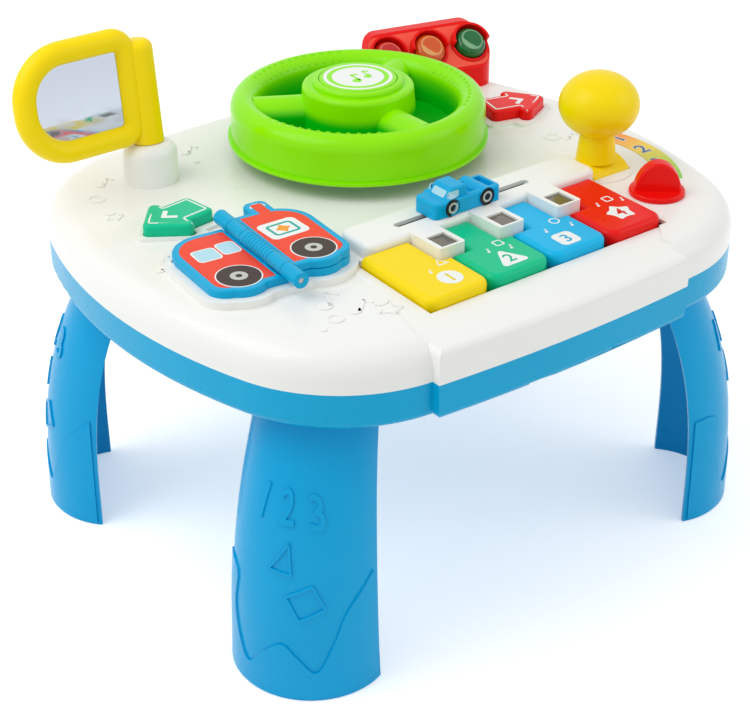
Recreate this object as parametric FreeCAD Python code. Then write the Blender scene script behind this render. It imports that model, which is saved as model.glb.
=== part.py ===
import FreeCAD
import Part
import math
import os

from FreeCAD import Vector

# Musical activity table. X runs to the right as the seated child sees it, Y away from the child, Z up.
# Lengths are in millimetres, angles in degrees. The sketch origin is the middle of the table top's
# outline on the floor, and the finished nodes are moved so that the whole footprint is centred.

# Casing outline
TABLE_HALF_X = 194.0
TABLE_HALF_Y = 168.5
OUTLINE_X = 8.0
OUTLINE_Y = 5.0
SIDE_BOW_R = 325.0
END_BOW_R = 1100.0
CORNER_R = 90.0
WALL = 2.5

# Casing heights
RIM_BOTTOM_Z = 171.0
SEAM_Z = 193.0
TOP_Z = 215.5
TOP_EDGE_R = 15.0
RIM_EDGE_R = 5.0
SEAM_LIP = 2.0
SEAM_LIP_WALL = 1.2
LIP_CLEARANCE = 0.2

# Keyboard block, raised deck and window bosses
BULGE_OUT = 5.5
BLOCK_HALF_X = 92.0
BLOCK_WAIST_X = 79.0
BLOCK_SHOULDER = 14.0
BLOCK_SLOPE_START_Y = -66.0
BLOCK_BACK_Z = 217.0
BLOCK_SLOPE = 2.4
BLOCK_EDGE_R = 4.5
DECK_LEFT_X = -63.0
DECK_RIGHT_X = 113.0
DECK_FRONT_Y = -67.5
DECK_BACK_Y = -37.0
DECK_TOP_Z = 226.5
DECK_EDGE_R = 3.5
BOSS_WIDTH = 18.6
BOSS_FRONT_Y = -93.5
BOSS_BOTTOM_Z = 211.0
BOSS_WALL = 1.5
BOSS_OFFSET_X = 1.4
WINDOW_X = 12.7
WINDOW_Y = 14.6
WINDOW_Y_CENTRE = -84.6
WINDOW_THICK = 1.2
WINDOW_FLANGE = 1.2

# Piano keys
KEY_COUNT = 4
KEY_NAMES = ("yellow", "green", "blue", "red")
KEY_PITCH = 44.5
KEY_LEFT_X = -70.0
KEY_FRONT_Y = -130.0
KEY_GAP = 1.2
KEY_BACK_Z = 222.0
KEY_SLOPE = 1.4
KEY_BOTTOM_Z = 206.0
KEY_WALL = 2.0
KEY_CORNER_R = 8.0
KEY_EDGE_R = 3.5
KEY_OPENING_CLEARANCE = 0.7
KEY_PIVOT_Y = -58.0
KEY_PIVOT_Z = 209.0
KEY_ROD_R = 1.5
KEY_EAR_R = 3.6
KEY_ROD_CLEARANCE = 0.05
KEY_ARM_WIDTH = 6.0
KEY_TRAVEL_DEG = 2.2
NOTCH_CLEARANCE = 0.9

# Slider car and slot
SLOT_Y = -54.5
SLOT_LEFT_X = -35.0
SLOT_RIGHT_X = 67.0
SLOT_WIDTH = 5.0
CAR_X = 12.0
CAR_LENGTH = 50.0
CAR_WIDTH = 20.0
CAR_LIFT = 0.3
CAR_BODY_H = 9.5
CAR_CABIN_H = 6.5
CAR_WHEEL_R = 5.6
CAR_NECK = 4.4
CARRIAGE_LENGTH = 26.0
CARRIAGE_WIDTH = 12.0
CARRIAGE_THICK = 2.2
RAIL_GAP = 0.3
RAIL_WALL = 1.6

# Steering wheel
WHEEL_X = 31.5
WHEEL_Y = 66.5
WHEEL_FLANGE_Z = 226.0
WHEEL_FLANGE_R = 82.5
WHEEL_WALL_R = 80.5
WHEEL_CREST_Z = 255.5
WHEEL_OPEN_R = 63.0
WHEEL_CREST_IN = 8.5
WHEEL_FLOOR_Z = 230.0
WHEEL_SHELL = 2.6
WHEEL_HUB_R = 35.0
WHEEL_HUB_Z = 260.5
HUB_RIM_Z = 263.5
SPOKE_R = 12.0
SPOKE_ANGLES = (150.0, 270.0, 30.0)
HORN_R = 24.5
HORN_TRAVEL = 2.0
HORN_CLEARANCE = 0.4
HORN_THICK = 3.0
SHAFT_R = 9.0
BUSH_WALL = 2.0
SHAFT_CLEARANCE = 0.06
PEDESTAL_R = 58.0
PEDESTAL_GAP = 0.3
RETAINER_R = 15.0
RETAINER_THICK = 2.0
SHAFT_END_Z = 204.0

# Arrow buttons
LEFT_ARROW_X = -123.0
LEFT_ARROW_Y = 41.0
RIGHT_ARROW_X = 149.0
RIGHT_ARROW_Y = 50.0
LEFT_ARROW_TURN = 8.0
RIGHT_ARROW_TURN = -14.0
ARROW_HEAD = 24.0
ARROW_HALF = 24.0
ARROW_TAIL = 21.0
ARROW_TAIL_HALF = 12.5
ARROW_ROUND = 4.2
ARROW_TOP_Z = 224.5
ARROW_CLEARANCE = 0.6
ARROW_PAD_RIM = 5.0
ARROW_PAD_H = 2.0
ARROW_FLANGE = 2.0
BUTTON_TRAVEL = 2.2

# Flip book
BOOK_X = -112.4
BOOK_Y = -31.5
BOOK_TURN = -6.0
BOOK_HALF_W = 44.0
BOOK_UPPER_R = 22.0
BOOK_LOWER_R = 12.0
SIREN_LEFT = 15.0
SIREN_RIGHT = 30.0
SIREN_HEIGHT = 13.0
SIREN_R = 5.0
BOOK_TOP_V = 38.0
BOOK_BOTTOM_V = -33.0
BOOK_WHEEL_U = 23.5
BOOK_WHEEL_V = -21.0
BOOK_WHEEL_R = 15.5
BOOK_PAD_RIM = 5.0
BOOK_PAD_Z = 220.0
BOOK_BASE_THICK = 4.6
BOOK_PAGE_THICK = 4.6
BOOK_SPINE_R = 4.6
BOOK_SPINE_OVERHANG = 9.0
BOOK_SPINE_HALF = BOOK_TOP_V + BOOK_SPINE_OVERHANG
BOOK_PIN_R = 1.6
BOOK_GAP = 0.4
BOOK_KNUCKLES = 6
BOOK_FRAME = 4.0
PRINT_THICK = 0.5
PRINT_CLEARANCE = 0.1

# Gear lever and dial
GEAR_X = 130.0
GEAR_Y = -48.0
GEAR_PIVOT_Z = 203.0
GEAR_DRUM_R = 20.0
GEAR_DRUM_HALF = 15.0
GEAR_OPEN_CLEARANCE = 0.7
GEAR_BALL_Z = 258.0
GEAR_BALL_R = 25.0
GEAR_BALL_SQUASH = 0.82
GEAR_STEM_R = 12.0
GEAR_AXLE_R = 2.0
GEAR_CHEEK = 3.0
GEAR_LIP_R = 24.0
GEAR_LIP_H = 1.0
DIAL_CX = 100.0
DIAL_CY = -37.0
DIAL_INNER_R = 67.5
DIAL_OUTER_R = 83.0
DIAL_FROM_DEG = -42.0
DIAL_TO_DEG = 22.0
DIAL_THICK = 0.6
DIAL_SINK = 0.3

# Rotary knob
KNOB_X = 133.5
KNOB_Y = -98.0
KNOB_BASE_R = 17.0
KNOB_BASE_H = 3.0
KNOB_FIN_R = 14.5
KNOB_FIN_TOP = 20.5
KNOB_FIN_THICK = 10.0
KNOB_FIN_EDGE_R = 2.0
KNOB_SHAFT_R = 3.0
KNOB_LIFT = 0.3

# Mirror
POST_X = OUTLINE_X + 89.0 - TABLE_HALF_X
POST_Y = OUTLINE_Y + TABLE_HALF_Y - 65.0
POST_R = 17.0
POST_TOP_Z = 240.0
POST_DOME = 7.0
MIRROR_LEAN = 7.0
BARREL_R = 9.5
BARREL_LENGTH = 64.0
BARREL_GAP = 0.4
FRAME_TUBE_R = 7.0
FRAME_HALF_H = 29.5
FRAME_WIDTH = 69.0
FRAME_END_R = 27.0
FRAME_NEAR_R = 9.0
FRAME_START = 9.0
FRAME_LIFT = 0.4
GLASS_THICK = 1.5
BACK_THICK = 1.8
SPIGOT_R = 4.5
SPIGOT_DEPTH = 22.0
SPIGOT_CLEARANCE = 0.06
GLASS_INSERT = 2.5
GLASS_CLEARANCE = 0.1
BARREL_TOP_R = 6.0

# Traffic light box
LIGHT_X = OUTLINE_X + TABLE_HALF_X - 67.0
LIGHT_Y = OUTLINE_Y + TABLE_HALF_Y - 48.5
LIGHT_TURN = -13.0
LIGHT_HALF_L = 45.0
LIGHT_DEPTH = 36.0
LIGHT_HEIGHT = 38.5
LIGHT_FRONT_H = 14.5
LIGHT_TOP_DEPTH = 8.0
LIGHT_WALL = 2.2
LIGHT_SKIRT = 10.0
LIGHT_WHEEL_GAP = 1.2
LIGHT_EDGE_GAP = 1.0
HOUSING_PAD = 1.5
LIGHT_ROUND = 13.0
LAMP_PITCH = 31.0
LAMP_R = 11.0
LAMP_STAND = 6.0
LAMP_FLANGE = 1.0
HOOD_R = 13.6
HOOD_LENGTH = 6.5
HOOD_WALL = 1.7
FACE_MARGIN = 2.2
FACE_FIT = 0.1
LAMP_BOARD_DROP = 11.0
LED_R = 2.5
LED_HEIGHT = 6.0
HOUSING_SCREW_Y = 10.0
HOUSING_SCREW_LEFT = 12.0
HOUSING_SCREW_RIGHT = 45.0
HOUSING_SCREW_LENGTH = 11.0
FACE_THICK = 1.0
LAMP_CLEARANCE = 0.2

# Legs
LEG_FOOT_X = TABLE_HALF_X - 45.0
LEG_FOOT_Y = TABLE_HALF_Y - 55.0
LEG_FACING_DEG = 34.0
LEG_WALL = 3.0
LEG_STATIONS = ((0.0, 45.0, 36.0, 0.0), (60.0, 43.0, 34.5, -0.5), (105.0, 40.5, 32.5, -6.5),
                (140.0, 37.5, 30.5, -17.0), (171.0, 35.0, 29.0, -31.0))
LEG_PLATE = 3.0
PLUG_LENGTH = 34.0
PLUG_WIDTH = 12.0
PLUG_HEIGHT = 15.0
PLUG_SETBACK = 12.0
PLUG_CLEARANCE = 0.3
SOCKET_WALL = 2.0

# Electronics and battery parts
BOARD_TOP_Z = 198.0
BOARD_THICK = 1.6
BOARD_X0 = -72.0
BOARD_X1 = 105.0
BOARD_Y0 = -141.0
BOARD_Y1 = -18.0
BOARD_POSTS = ((-35.0, -137.0), (35.0, -137.0), (-60.0, -24.0), (95.0, -24.0))
BOARD_POST_R = 3.5
BOARD_SCREW_GRIP = 8.0
BUTTON_POST_REACH = 32.0
DOME_R = 6.0
DOME_H = 4.0
BATTERY_R = 7.1
BATTERY_LENGTH = 50.0
BATTERY_COUNT = 3
BATTERY_PITCH = 15.2
BATTERY_X = -8.0
BATTERY_Y = 0.0
BOX_WALL = 1.6
BOX_END_SPACE = 3.0
DOOR_THICK = 2.0
DOOR_CLEARANCE = 0.3
DOOR_LAP = 2.5
DOOR_TAB = 10.0
CONTACT_GAP = 0.2
SPEAKER_X = -10.0
SPEAKER_Y = 88.0
SPEAKER_R = 25.0
SPEAKER_H = 14.0
GRILLE_HOLE_R = 1.6
SWITCH_X = 78.0
SWITCH_Y = 10.0
SWITCH_TRAVEL = 3.0
SWITCH_GAP = 0.3
SCREW_R = 1.5
SCREW_HEAD_R = 3.0
SCREW_HEAD_H = 1.8
SCREW_SINK = 1.9
CASING_SINK = 8.0
CASING_GRIP = 12.0
SCREW_FIT = 0.05
CASING_BOSS_R = 4.5
CASING_SCREW_X = TABLE_HALF_X - 16.0
CASING_SCREW_BACK = TABLE_HALF_Y - 27.0
CASING_SCREW_FRONT = TABLE_HALF_Y - 17.0
CASING_SCREW_MID = 60.0
CASING_SCREWS = ((OUTLINE_X - CASING_SCREW_X, OUTLINE_Y), (OUTLINE_X + CASING_SCREW_X, OUTLINE_Y),
                 (OUTLINE_X - CASING_SCREW_MID, OUTLINE_Y + CASING_SCREW_BACK - 8.0),
                 (OUTLINE_X + CASING_SCREW_MID, OUTLINE_Y + CASING_SCREW_BACK),
                 (OUTLINE_X - CASING_SCREW_MID, OUTLINE_Y - CASING_SCREW_FRONT),
                 (OUTLINE_X + CASING_SCREW_MID, OUTLINE_Y - CASING_SCREW_FRONT))

OVERLAP = 0.5
TINY = 0.01


# Shape helpers
def box(x0, x1, y0, y1, z0, z1):
    return Part.makeBox(x1 - x0, y1 - y0, z1 - z0, Vector(x0, y0, z0))


def cyl(x, y, z0, z1, radius):
    return Part.makeCylinder(radius, z1 - z0, Vector(x, y, z0), Vector(0, 0, 1))


def cyl_x(x0, x1, y, z, radius):
    return Part.makeCylinder(radius, x1 - x0, Vector(x0, y, z), Vector(1, 0, 0))


def tube(x, y, z0, z1, outer, inner):
    return cyl(x, y, z0, z1, outer).cut(cyl(x, y, z0 - TINY, z1 + TINY, inner))


def fuse(shapes):
    result = shapes[0]
    if len(shapes) > 1:
        result = shapes[0].multiFuse(shapes[1:])
    return result.removeSplitter()


def turned(shape, degrees, x, y):
    copy = shape.copy()
    copy.rotate(Vector(x, y, 0), Vector(0, 0, 1), degrees)
    return copy


def mirrored(shape, normal):
    return shape.mirror(Vector(0, 0, 0), normal)


def polygon(points, z):
    corners = [Vector(x, y, z) for x, y in points]
    return Part.Face(Part.makePolygon(corners + corners[:1]))


def prism(points, z0, z1):
    return polygon(points, z0).extrude(Vector(0, 0, z1 - z0))


def rounded(shape, radius, keep):
    edges = [edge for edge in shape.Edges if keep(edge)]
    return shape.makeFillet(radius, edges)


def upright(edge):
    box_ = edge.BoundBox
    return box_.ZLength > TINY and box_.XLength < TINY and box_.YLength < TINY


def at_height(z):
    def test(edge):
        box_ = edge.BoundBox
        return abs(box_.ZMin - z) < TINY and abs(box_.ZMax - z) < TINY
    return test


def soft_box(x0, x1, y0, y1, z0, z1, radius):
    return rounded(box(x0, x1, y0, y1, z0, z1), radius, upright)


# Casing outline: bowed sides and ends with a tangent arc at each corner
def corner_centre():
    side_x = TABLE_HALF_X - SIDE_BOW_R
    end_y = TABLE_HALF_Y - END_BOW_R
    reach_side = SIDE_BOW_R - CORNER_R
    reach_end = END_BOW_R - CORNER_R
    gap = math.hypot(side_x, end_y)
    along = (reach_side ** 2 - reach_end ** 2 + gap ** 2) / (2 * gap)
    off = math.sqrt(reach_side ** 2 - along ** 2)
    ux = -side_x / gap
    uy = end_y / gap
    first = (side_x + along * ux - off * uy, along * uy + off * ux)
    second = (side_x + along * ux + off * uy, along * uy - off * ux)
    return max((first, second), key=lambda point: point[0] + point[1])


def outline_face(inset, z):
    cx, cy = corner_centre()
    side = Vector(TABLE_HALF_X - SIDE_BOW_R, 0, 0)
    end = Vector(0, TABLE_HALF_Y - END_BOW_R, 0)
    centre = Vector(cx, cy, 0)
    radius = CORNER_R - inset
    side_way = (centre - side).normalize()
    end_way = (centre - end).normalize()
    mid_way = (side_way + end_way).normalize()
    low = centre + side_way * radius
    mid = centre + mid_way * radius
    high = centre + end_way * radius

    def place(point, sx, sy):
        return Vector(OUTLINE_X + sx * point.x, OUTLINE_Y + sy * point.y, z)

    right = Vector(TABLE_HALF_X - inset, 0, z)
    back = Vector(0, TABLE_HALF_Y - inset, z)
    edges = []
    edges.append(Part.Arc(place(low, 1, -1), place(right, 1, 1), place(low, 1, 1)).toShape())
    edges.append(Part.Arc(place(low, 1, 1), place(mid, 1, 1), place(high, 1, 1)).toShape())
    edges.append(Part.Arc(place(high, 1, 1), place(back, 1, 1), place(high, -1, 1)).toShape())
    edges.append(Part.Arc(place(high, -1, 1), place(mid, -1, 1), place(low, -1, 1)).toShape())
    edges.append(Part.Arc(place(low, -1, 1), place(right, -1, 1), place(low, -1, -1)).toShape())
    edges.append(Part.Arc(place(low, -1, -1), place(mid, -1, -1), place(high, -1, -1)).toShape())
    edges.append(Part.Arc(place(high, -1, -1), place(back, 1, -1), place(high, 1, -1)).toShape())
    edges.append(Part.Arc(place(high, 1, -1), place(mid, 1, -1), place(low, 1, -1)).toShape())
    return Part.Face(Part.Wire(edges))


def outline_prism(inset, z0, z1):
    return outline_face(inset, z0).extrude(Vector(0, 0, z1 - z0))


# Front bulge under the keyboard, set out from the casing outline
def bulge(inset, z0, z1):
    strip = box(-BLOCK_HALF_X + inset, BLOCK_HALF_X - inset, -2 * TABLE_HALF_Y, KEY_FRONT_Y, z0, z1)
    return outline_prism(inset - BULGE_OUT, z0, z1).common(strip)


def block_height(y):
    return BLOCK_BACK_Z + (y - BLOCK_SLOPE_START_Y) * math.tan(math.radians(BLOCK_SLOPE))


def above_block(drop):
    far = 3 * TABLE_HALF_Y
    front = block_height(-far) - drop
    back = block_height(far) - drop
    top = DECK_TOP_Z + far
    corners = [(-far, front), (far, back), (far, top), (-far, top)]
    points = [Vector(-far, y, z) for y, z in corners]
    return Part.Face(Part.makePolygon(points + points[:1])).extrude(Vector(2 * far, 0, 0))


def block_plan(inset):
    left = BLOCK_HALF_X - inset
    waist = BLOCK_WAIST_X - inset
    right = DECK_RIGHT_X + 2.0 - inset
    far = -2 * TABLE_HALF_Y
    shoulder = KEY_FRONT_Y - BLOCK_SHOULDER
    back = DECK_BACK_Y - inset
    return [(-left, far), (-left, shoulder), (-waist, shoulder + 42.0), (-waist, back),
            (right, back), (right, shoulder + 30.0), (left, shoulder), (left, far)]


def keyboard_block(inset, drop):
    body = prism(block_plan(inset), SEAM_Z, DECK_TOP_Z).common(outline_prism(inset - BULGE_OUT, SEAM_Z, DECK_TOP_Z))
    return body.cut(above_block(drop))


def top_edges_of_block(shape):
    def keep(edge):
        box_ = edge.BoundBox
        return box_.ZMin > SEAM_Z + 5.0 and box_.YMin < DECK_BACK_Y - 1.0 and not upright(edge)
    return [edge for edge in shape.Edges if keep(edge)]


def deck(inset, drop):
    body = box(DECK_LEFT_X + inset, DECK_RIGHT_X - inset, DECK_FRONT_Y + inset, DECK_BACK_Y - inset,
               SEAM_Z + 10.0, DECK_TOP_Z - drop)
    if inset:
        return body
    body = rounded(body, DECK_EDGE_R * 2, upright)
    return rounded(body, DECK_EDGE_R, at_height(DECK_TOP_Z))


def boss_centres():
    first = KEY_LEFT_X + KEY_PITCH + BOSS_OFFSET_X
    return [first + KEY_PITCH * index for index in range(KEY_COUNT - 1)]


def key_right_x():
    return KEY_LEFT_X + KEY_PITCH * KEY_COUNT


def window_bosses():
    blocks = []
    for x in boss_centres():
        blocks.append(soft_box(x - BOSS_WIDTH / 2, x + BOSS_WIDTH / 2, BOSS_FRONT_Y, DECK_FRONT_Y + 2 * WALL,
                               BOSS_BOTTOM_Z, DECK_TOP_Z, 1.5))
    return blocks


def window_boss_hollows():
    half = BOSS_WIDTH / 2 - BOSS_WALL
    hollows = []
    for x in boss_centres():
        hollows.append(box(x - half, x + half, BOSS_FRONT_Y + BOSS_WALL, DECK_FRONT_Y,
                           BOSS_BOTTOM_Z - 1.0, DECK_TOP_Z - WINDOW_FLANGE - WINDOW_THICK))
        hollows.append(box(x - WINDOW_X / 2, x + WINDOW_X / 2, WINDOW_Y_CENTRE - WINDOW_Y / 2,
                           WINDOW_Y_CENTRE + WINDOW_Y / 2, BOSS_BOTTOM_Z, DECK_TOP_Z + 1.0))
    return hollows


def indicator_windows():
    half = BOSS_WIDTH / 2 - BOSS_WALL - 0.1
    seat = DECK_TOP_Z - WINDOW_FLANGE - WINDOW_THICK
    panes = []
    for x in boss_centres():
        pane = box(x - WINDOW_X / 2 + 0.1, x + WINDOW_X / 2 - 0.1, WINDOW_Y_CENTRE - WINDOW_Y / 2 + 0.1,
                   WINDOW_Y_CENTRE + WINDOW_Y / 2 - 0.1, seat - WINDOW_FLANGE, seat + WINDOW_THICK)
        flange = box(x - half, x + half, BOSS_FRONT_Y + BOSS_WALL + 0.1, DECK_FRONT_Y - 0.2,
                     seat - WINDOW_FLANGE, seat)
        panes.append(fuse([pane, flange]))
    return Part.makeCompound(panes)


# Piano keys
def key_height(y):
    return KEY_BACK_Z + (y - DECK_FRONT_Y) * math.tan(math.radians(KEY_SLOPE))


def key_skin(x0, x1, grow):
    front = KEY_FRONT_Y - grow
    body = box(x0 - grow, x1 + grow, front, DECK_FRONT_Y - 0.8, KEY_BOTTOM_Z, KEY_BACK_Z)
    far = 2 * TABLE_HALF_Y
    profile = [(-far, key_height(-far)), (far, key_height(far)), (far, far * 2), (-far, far * 2)]
    points = [Vector(x0 - far, y, z) for y, z in profile]
    cutter = Part.Face(Part.makePolygon(points + points[:1])).extrude(Vector(2 * far, 0, 0))
    return body.cut(cutter)


def front_corner(edge):
    return upright(edge) and edge.BoundBox.YMax < KEY_FRONT_Y + 1.0


def key_cap(index):
    x0 = KEY_LEFT_X + KEY_PITCH * index + KEY_GAP / 2
    x1 = x0 + KEY_PITCH - KEY_GAP
    body = rounded(key_skin(x0, x1, 0.0), KEY_CORNER_R, front_corner)
    cuts = []
    for x in boss_centres():
        half = BOSS_WIDTH / 2 + NOTCH_CLEARANCE
        cuts.append(box(x - half, x + half, BOSS_FRONT_Y - NOTCH_CLEARANCE, DECK_FRONT_Y + 1.0,
                        KEY_BOTTOM_Z - 1.0, KEY_BACK_Z + 1.0))
    body = body.cut(Part.makeCompound(cuts))

    def top_edge(edge):
        box_ = edge.BoundBox
        return box_.ZMin > key_height(KEY_FRONT_Y) - 0.5 and box_.YMax < BOSS_FRONT_Y + 40.0 and not upright(edge)

    def soft_edge(edge):
        box_ = edge.BoundBox
        runs_back = box_.YMax > DECK_FRONT_Y - 2.0 and box_.YLength < TINY
        return top_edge(edge) and not runs_back
    return rounded(body, KEY_EDGE_R, soft_edge), x0, x1


def key_hollow(x0, x1):
    inner = key_skin(x0 + KEY_WALL, x1 - KEY_WALL, -KEY_WALL)
    inner = inner.cut(box(x0 - 1.0, x1 + 1.0, DECK_FRONT_Y - 0.8 - KEY_WALL, DECK_FRONT_Y + 5.0, 0.0, 2 * TOP_Z))
    for x in boss_centres():
        half = BOSS_WIDTH / 2 + NOTCH_CLEARANCE + KEY_WALL
        inner = inner.cut(box(x - half, x + half, BOSS_FRONT_Y - NOTCH_CLEARANCE - KEY_WALL, DECK_FRONT_Y + 5.0,
                              0.0, 2 * TOP_Z))
    inner.translate(Vector(0, 0, -KEY_WALL))
    low = box(x0 + KEY_WALL, x1 - KEY_WALL, KEY_FRONT_Y, DECK_FRONT_Y, KEY_BOTTOM_Z - 3 * KEY_WALL, KEY_BOTTOM_Z - TINY)
    return inner.cut(low)


def key_body(index):
    cap, x0, x1 = key_cap(index)
    cap = cap.cut(key_hollow(x0, x1))
    middle = arm_centre(index)
    arm = box(middle - KEY_ARM_WIDTH / 2, middle + KEY_ARM_WIDTH / 2, DECK_FRONT_Y - 0.9 - KEY_WALL, KEY_PIVOT_Y,
              KEY_PIVOT_Z - KEY_EAR_R + 0.6, KEY_PIVOT_Z + KEY_EAR_R)
    ear = cyl_x(middle - KEY_ARM_WIDTH / 2, middle + KEY_ARM_WIDTH / 2, KEY_PIVOT_Y, KEY_PIVOT_Z, KEY_EAR_R)
    plunger = cyl((x0 + x1) / 2, plunger_y(), dome_top() + plunger_gap(), key_height(plunger_y()) - KEY_WALL + OVERLAP,
                  2.5)
    body = fuse([cap, arm, ear, plunger])
    bore = cyl_x(middle - KEY_ARM_WIDTH, middle + KEY_ARM_WIDTH, KEY_PIVOT_Y, KEY_PIVOT_Z, KEY_ROD_R + KEY_ROD_CLEARANCE)
    return body.cut(bore)


def arm_centre(index):
    x0 = KEY_LEFT_X + KEY_PITCH * index
    left = x0 + (BOSS_WIDTH / 2 if index > 0 else 0.0)
    right = x0 + KEY_PITCH - (BOSS_WIDTH / 2 if index < KEY_COUNT - 1 else 0.0)
    return (left + right) / 2


def plunger_y():
    return KEY_FRONT_Y + 22.0


def dome_top():
    return BOARD_TOP_Z + DOME_H


def plunger_gap():
    return math.radians(KEY_TRAVEL_DEG) * (KEY_PIVOT_Y - plunger_y()) + 0.3


def key_pivot_rod():
    return cyl_x(KEY_LEFT_X + 2.0, key_right_x() - 2.0, KEY_PIVOT_Y, KEY_PIVOT_Z, KEY_ROD_R)


def rod_posts():
    posts = []
    places = [KEY_LEFT_X + 3.0] + [KEY_LEFT_X + KEY_PITCH * i for i in range(1, KEY_COUNT)] + [key_right_x() - 3.0]
    for x in places:
        post = box(x - 1.5, x + 1.5, DECK_FRONT_Y + OVERLAP, KEY_PIVOT_Y + 4.0, KEY_PIVOT_Z - 4.0, rail_bottom() - RAIL_GAP)
        bore = cyl_x(x - 3.0, x + 3.0, KEY_PIVOT_Y, KEY_PIVOT_Z, KEY_ROD_R + KEY_ROD_CLEARANCE)
        posts.append(post.cut(bore))
    return posts


# Slider car that runs along the slot in the deck
def slot_cut():
    half = SLOT_WIDTH / 2
    mid = box(SLOT_LEFT_X + half, SLOT_RIGHT_X - half, SLOT_Y - half, SLOT_Y + half, TOP_Z, DECK_TOP_Z + 1.0)
    ends = [cyl(x, SLOT_Y, TOP_Z, DECK_TOP_Z + 1.0, half) for x in (SLOT_LEFT_X + half, SLOT_RIGHT_X - half)]
    return fuse([mid] + ends)


def car_floor():
    return DECK_TOP_Z + CAR_LIFT


def car_axles():
    return (CAR_X - CAR_LENGTH * 0.27, CAR_X + CAR_LENGTH * 0.27)


def slider_car():
    x0 = CAR_X - CAR_LENGTH / 2
    y0 = SLOT_Y - CAR_WIDTH / 2
    z0 = car_floor()
    body = box(x0, x0 + CAR_LENGTH, y0, y0 + CAR_WIDTH, z0, z0 + CAR_BODY_H)
    body = rounded(body, 3.5, upright)
    body = rounded(body, 1.6, at_height(z0 + CAR_BODY_H))
    bed = soft_box(CAR_X + 2.0, CAR_X + CAR_LENGTH / 2 - 3.0, y0 + 3.0, y0 + CAR_WIDTH - 3.0,
                   z0 + CAR_BODY_H - 3.0, z0 + CAR_BODY_H + 1.0, 1.5)
    body = body.cut(bed)
    low = z0 + CAR_BODY_H - 1.0
    high = z0 + CAR_BODY_H + CAR_CABIN_H
    cabin_points = [(x0 + 8.0, low), (x0 + 14.0, high), (CAR_X - 1.0, high), (CAR_X + 1.5, low)]
    cabin_wire = [Vector(x, y0 + 2.0, z) for x, z in cabin_points]
    cabin = Part.Face(Part.makePolygon(cabin_wire + cabin_wire[:1])).extrude(Vector(0, CAR_WIDTH - 4.0, 0))
    cabin = cabin.makeFillet(1.5, [e for e in cabin.Edges if e.BoundBox.ZMax > high - 0.5])
    arches = []
    for x in car_axles():
        arches.append(Part.makeCylinder(CAR_WHEEL_R, CAR_WIDTH + 1.0, Vector(x, y0 - 0.5, z0 + CAR_WHEEL_R - 0.6),
                                        Vector(0, 1, 0)))
    neck = box(CAR_X - CARRIAGE_LENGTH / 4, CAR_X + CARRIAGE_LENGTH / 4, SLOT_Y - CAR_NECK / 2, SLOT_Y + CAR_NECK / 2,
               DECK_TOP_Z - WALL - CAR_LIFT, z0 + OVERLAP)
    bottom = box(x0 - 5.0, x0 + CAR_LENGTH + 5.0, y0 - 5.0, y0 + CAR_WIDTH + 5.0, z0 - 5.0, z0)
    shell = fuse([body, cabin] + arches).cut(bottom)
    return fuse([shell, neck])


def carriage_top():
    return DECK_TOP_Z - WALL - CAR_LIFT


def slider_carriage():
    return soft_box(CAR_X - CARRIAGE_LENGTH / 2, CAR_X + CARRIAGE_LENGTH / 2, SLOT_Y - CARRIAGE_WIDTH / 2,
                    SLOT_Y + CARRIAGE_WIDTH / 2, carriage_top() - CARRIAGE_THICK, carriage_top(), 2.0)


def rail_bottom():
    return carriage_top() - CARRIAGE_THICK - RAIL_GAP - RAIL_WALL


def slider_rail():
    half = CARRIAGE_WIDTH / 2 + RAIL_GAP
    x0 = SLOT_LEFT_X - 5.0
    x1 = SLOT_RIGHT_X + 5.0
    under = carriage_top() - CARRIAGE_THICK - RAIL_GAP
    seat = DECK_TOP_Z - WALL
    trough = box(x0, x1, SLOT_Y - half - RAIL_WALL, SLOT_Y + half + RAIL_WALL, under - RAIL_WALL, seat)
    trough = trough.cut(box(x0 + RAIL_WALL, x1 - RAIL_WALL, SLOT_Y - half, SLOT_Y + half, under, seat + 1.0))
    for x in rail_screw_places():
        ear = cyl(x, SLOT_Y, under - RAIL_WALL, seat, 4.0)
        trough = trough.fuse(ear).cut(cyl(x, SLOT_Y, under - 5.0, seat + 1.0, SCREW_R + SCREW_FIT))
    return trough.removeSplitter()


def rail_screw_places():
    return (SLOT_LEFT_X - 8.0, SLOT_RIGHT_X + 8.0)


def screw_at(x, y, head_low, length):
    head = cyl(x, y, head_low, head_low + SCREW_HEAD_H, SCREW_HEAD_R)
    shank = cyl(x, y, head_low + SCREW_HEAD_H - OVERLAP, head_low + SCREW_HEAD_H + length, SCREW_R)
    cross = [box(x - 1.6, x + 1.6, y - 0.35, y + 0.35, head_low - 1.0, head_low + 0.8),
             box(x - 0.35, x + 0.35, y - 1.6, y + 1.6, head_low - 1.0, head_low + 0.8)]
    return fuse([head, shank]).cut(fuse(cross))


def slider_screw_bores():
    low = DECK_TOP_Z - WALL
    return [cyl(x, SLOT_Y, low - 1.0, low + 1.0, SCREW_R + SCREW_FIT) for x in rail_screw_places()]


def slider_screws():
    seat = carriage_top() - CARRIAGE_THICK - RAIL_GAP - RAIL_WALL
    length = DECK_TOP_Z - WALL - seat + 0.5
    return Part.makeCompound([screw_at(x, SLOT_Y, seat - SCREW_HEAD_H, length) for x in rail_screw_places()])


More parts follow.
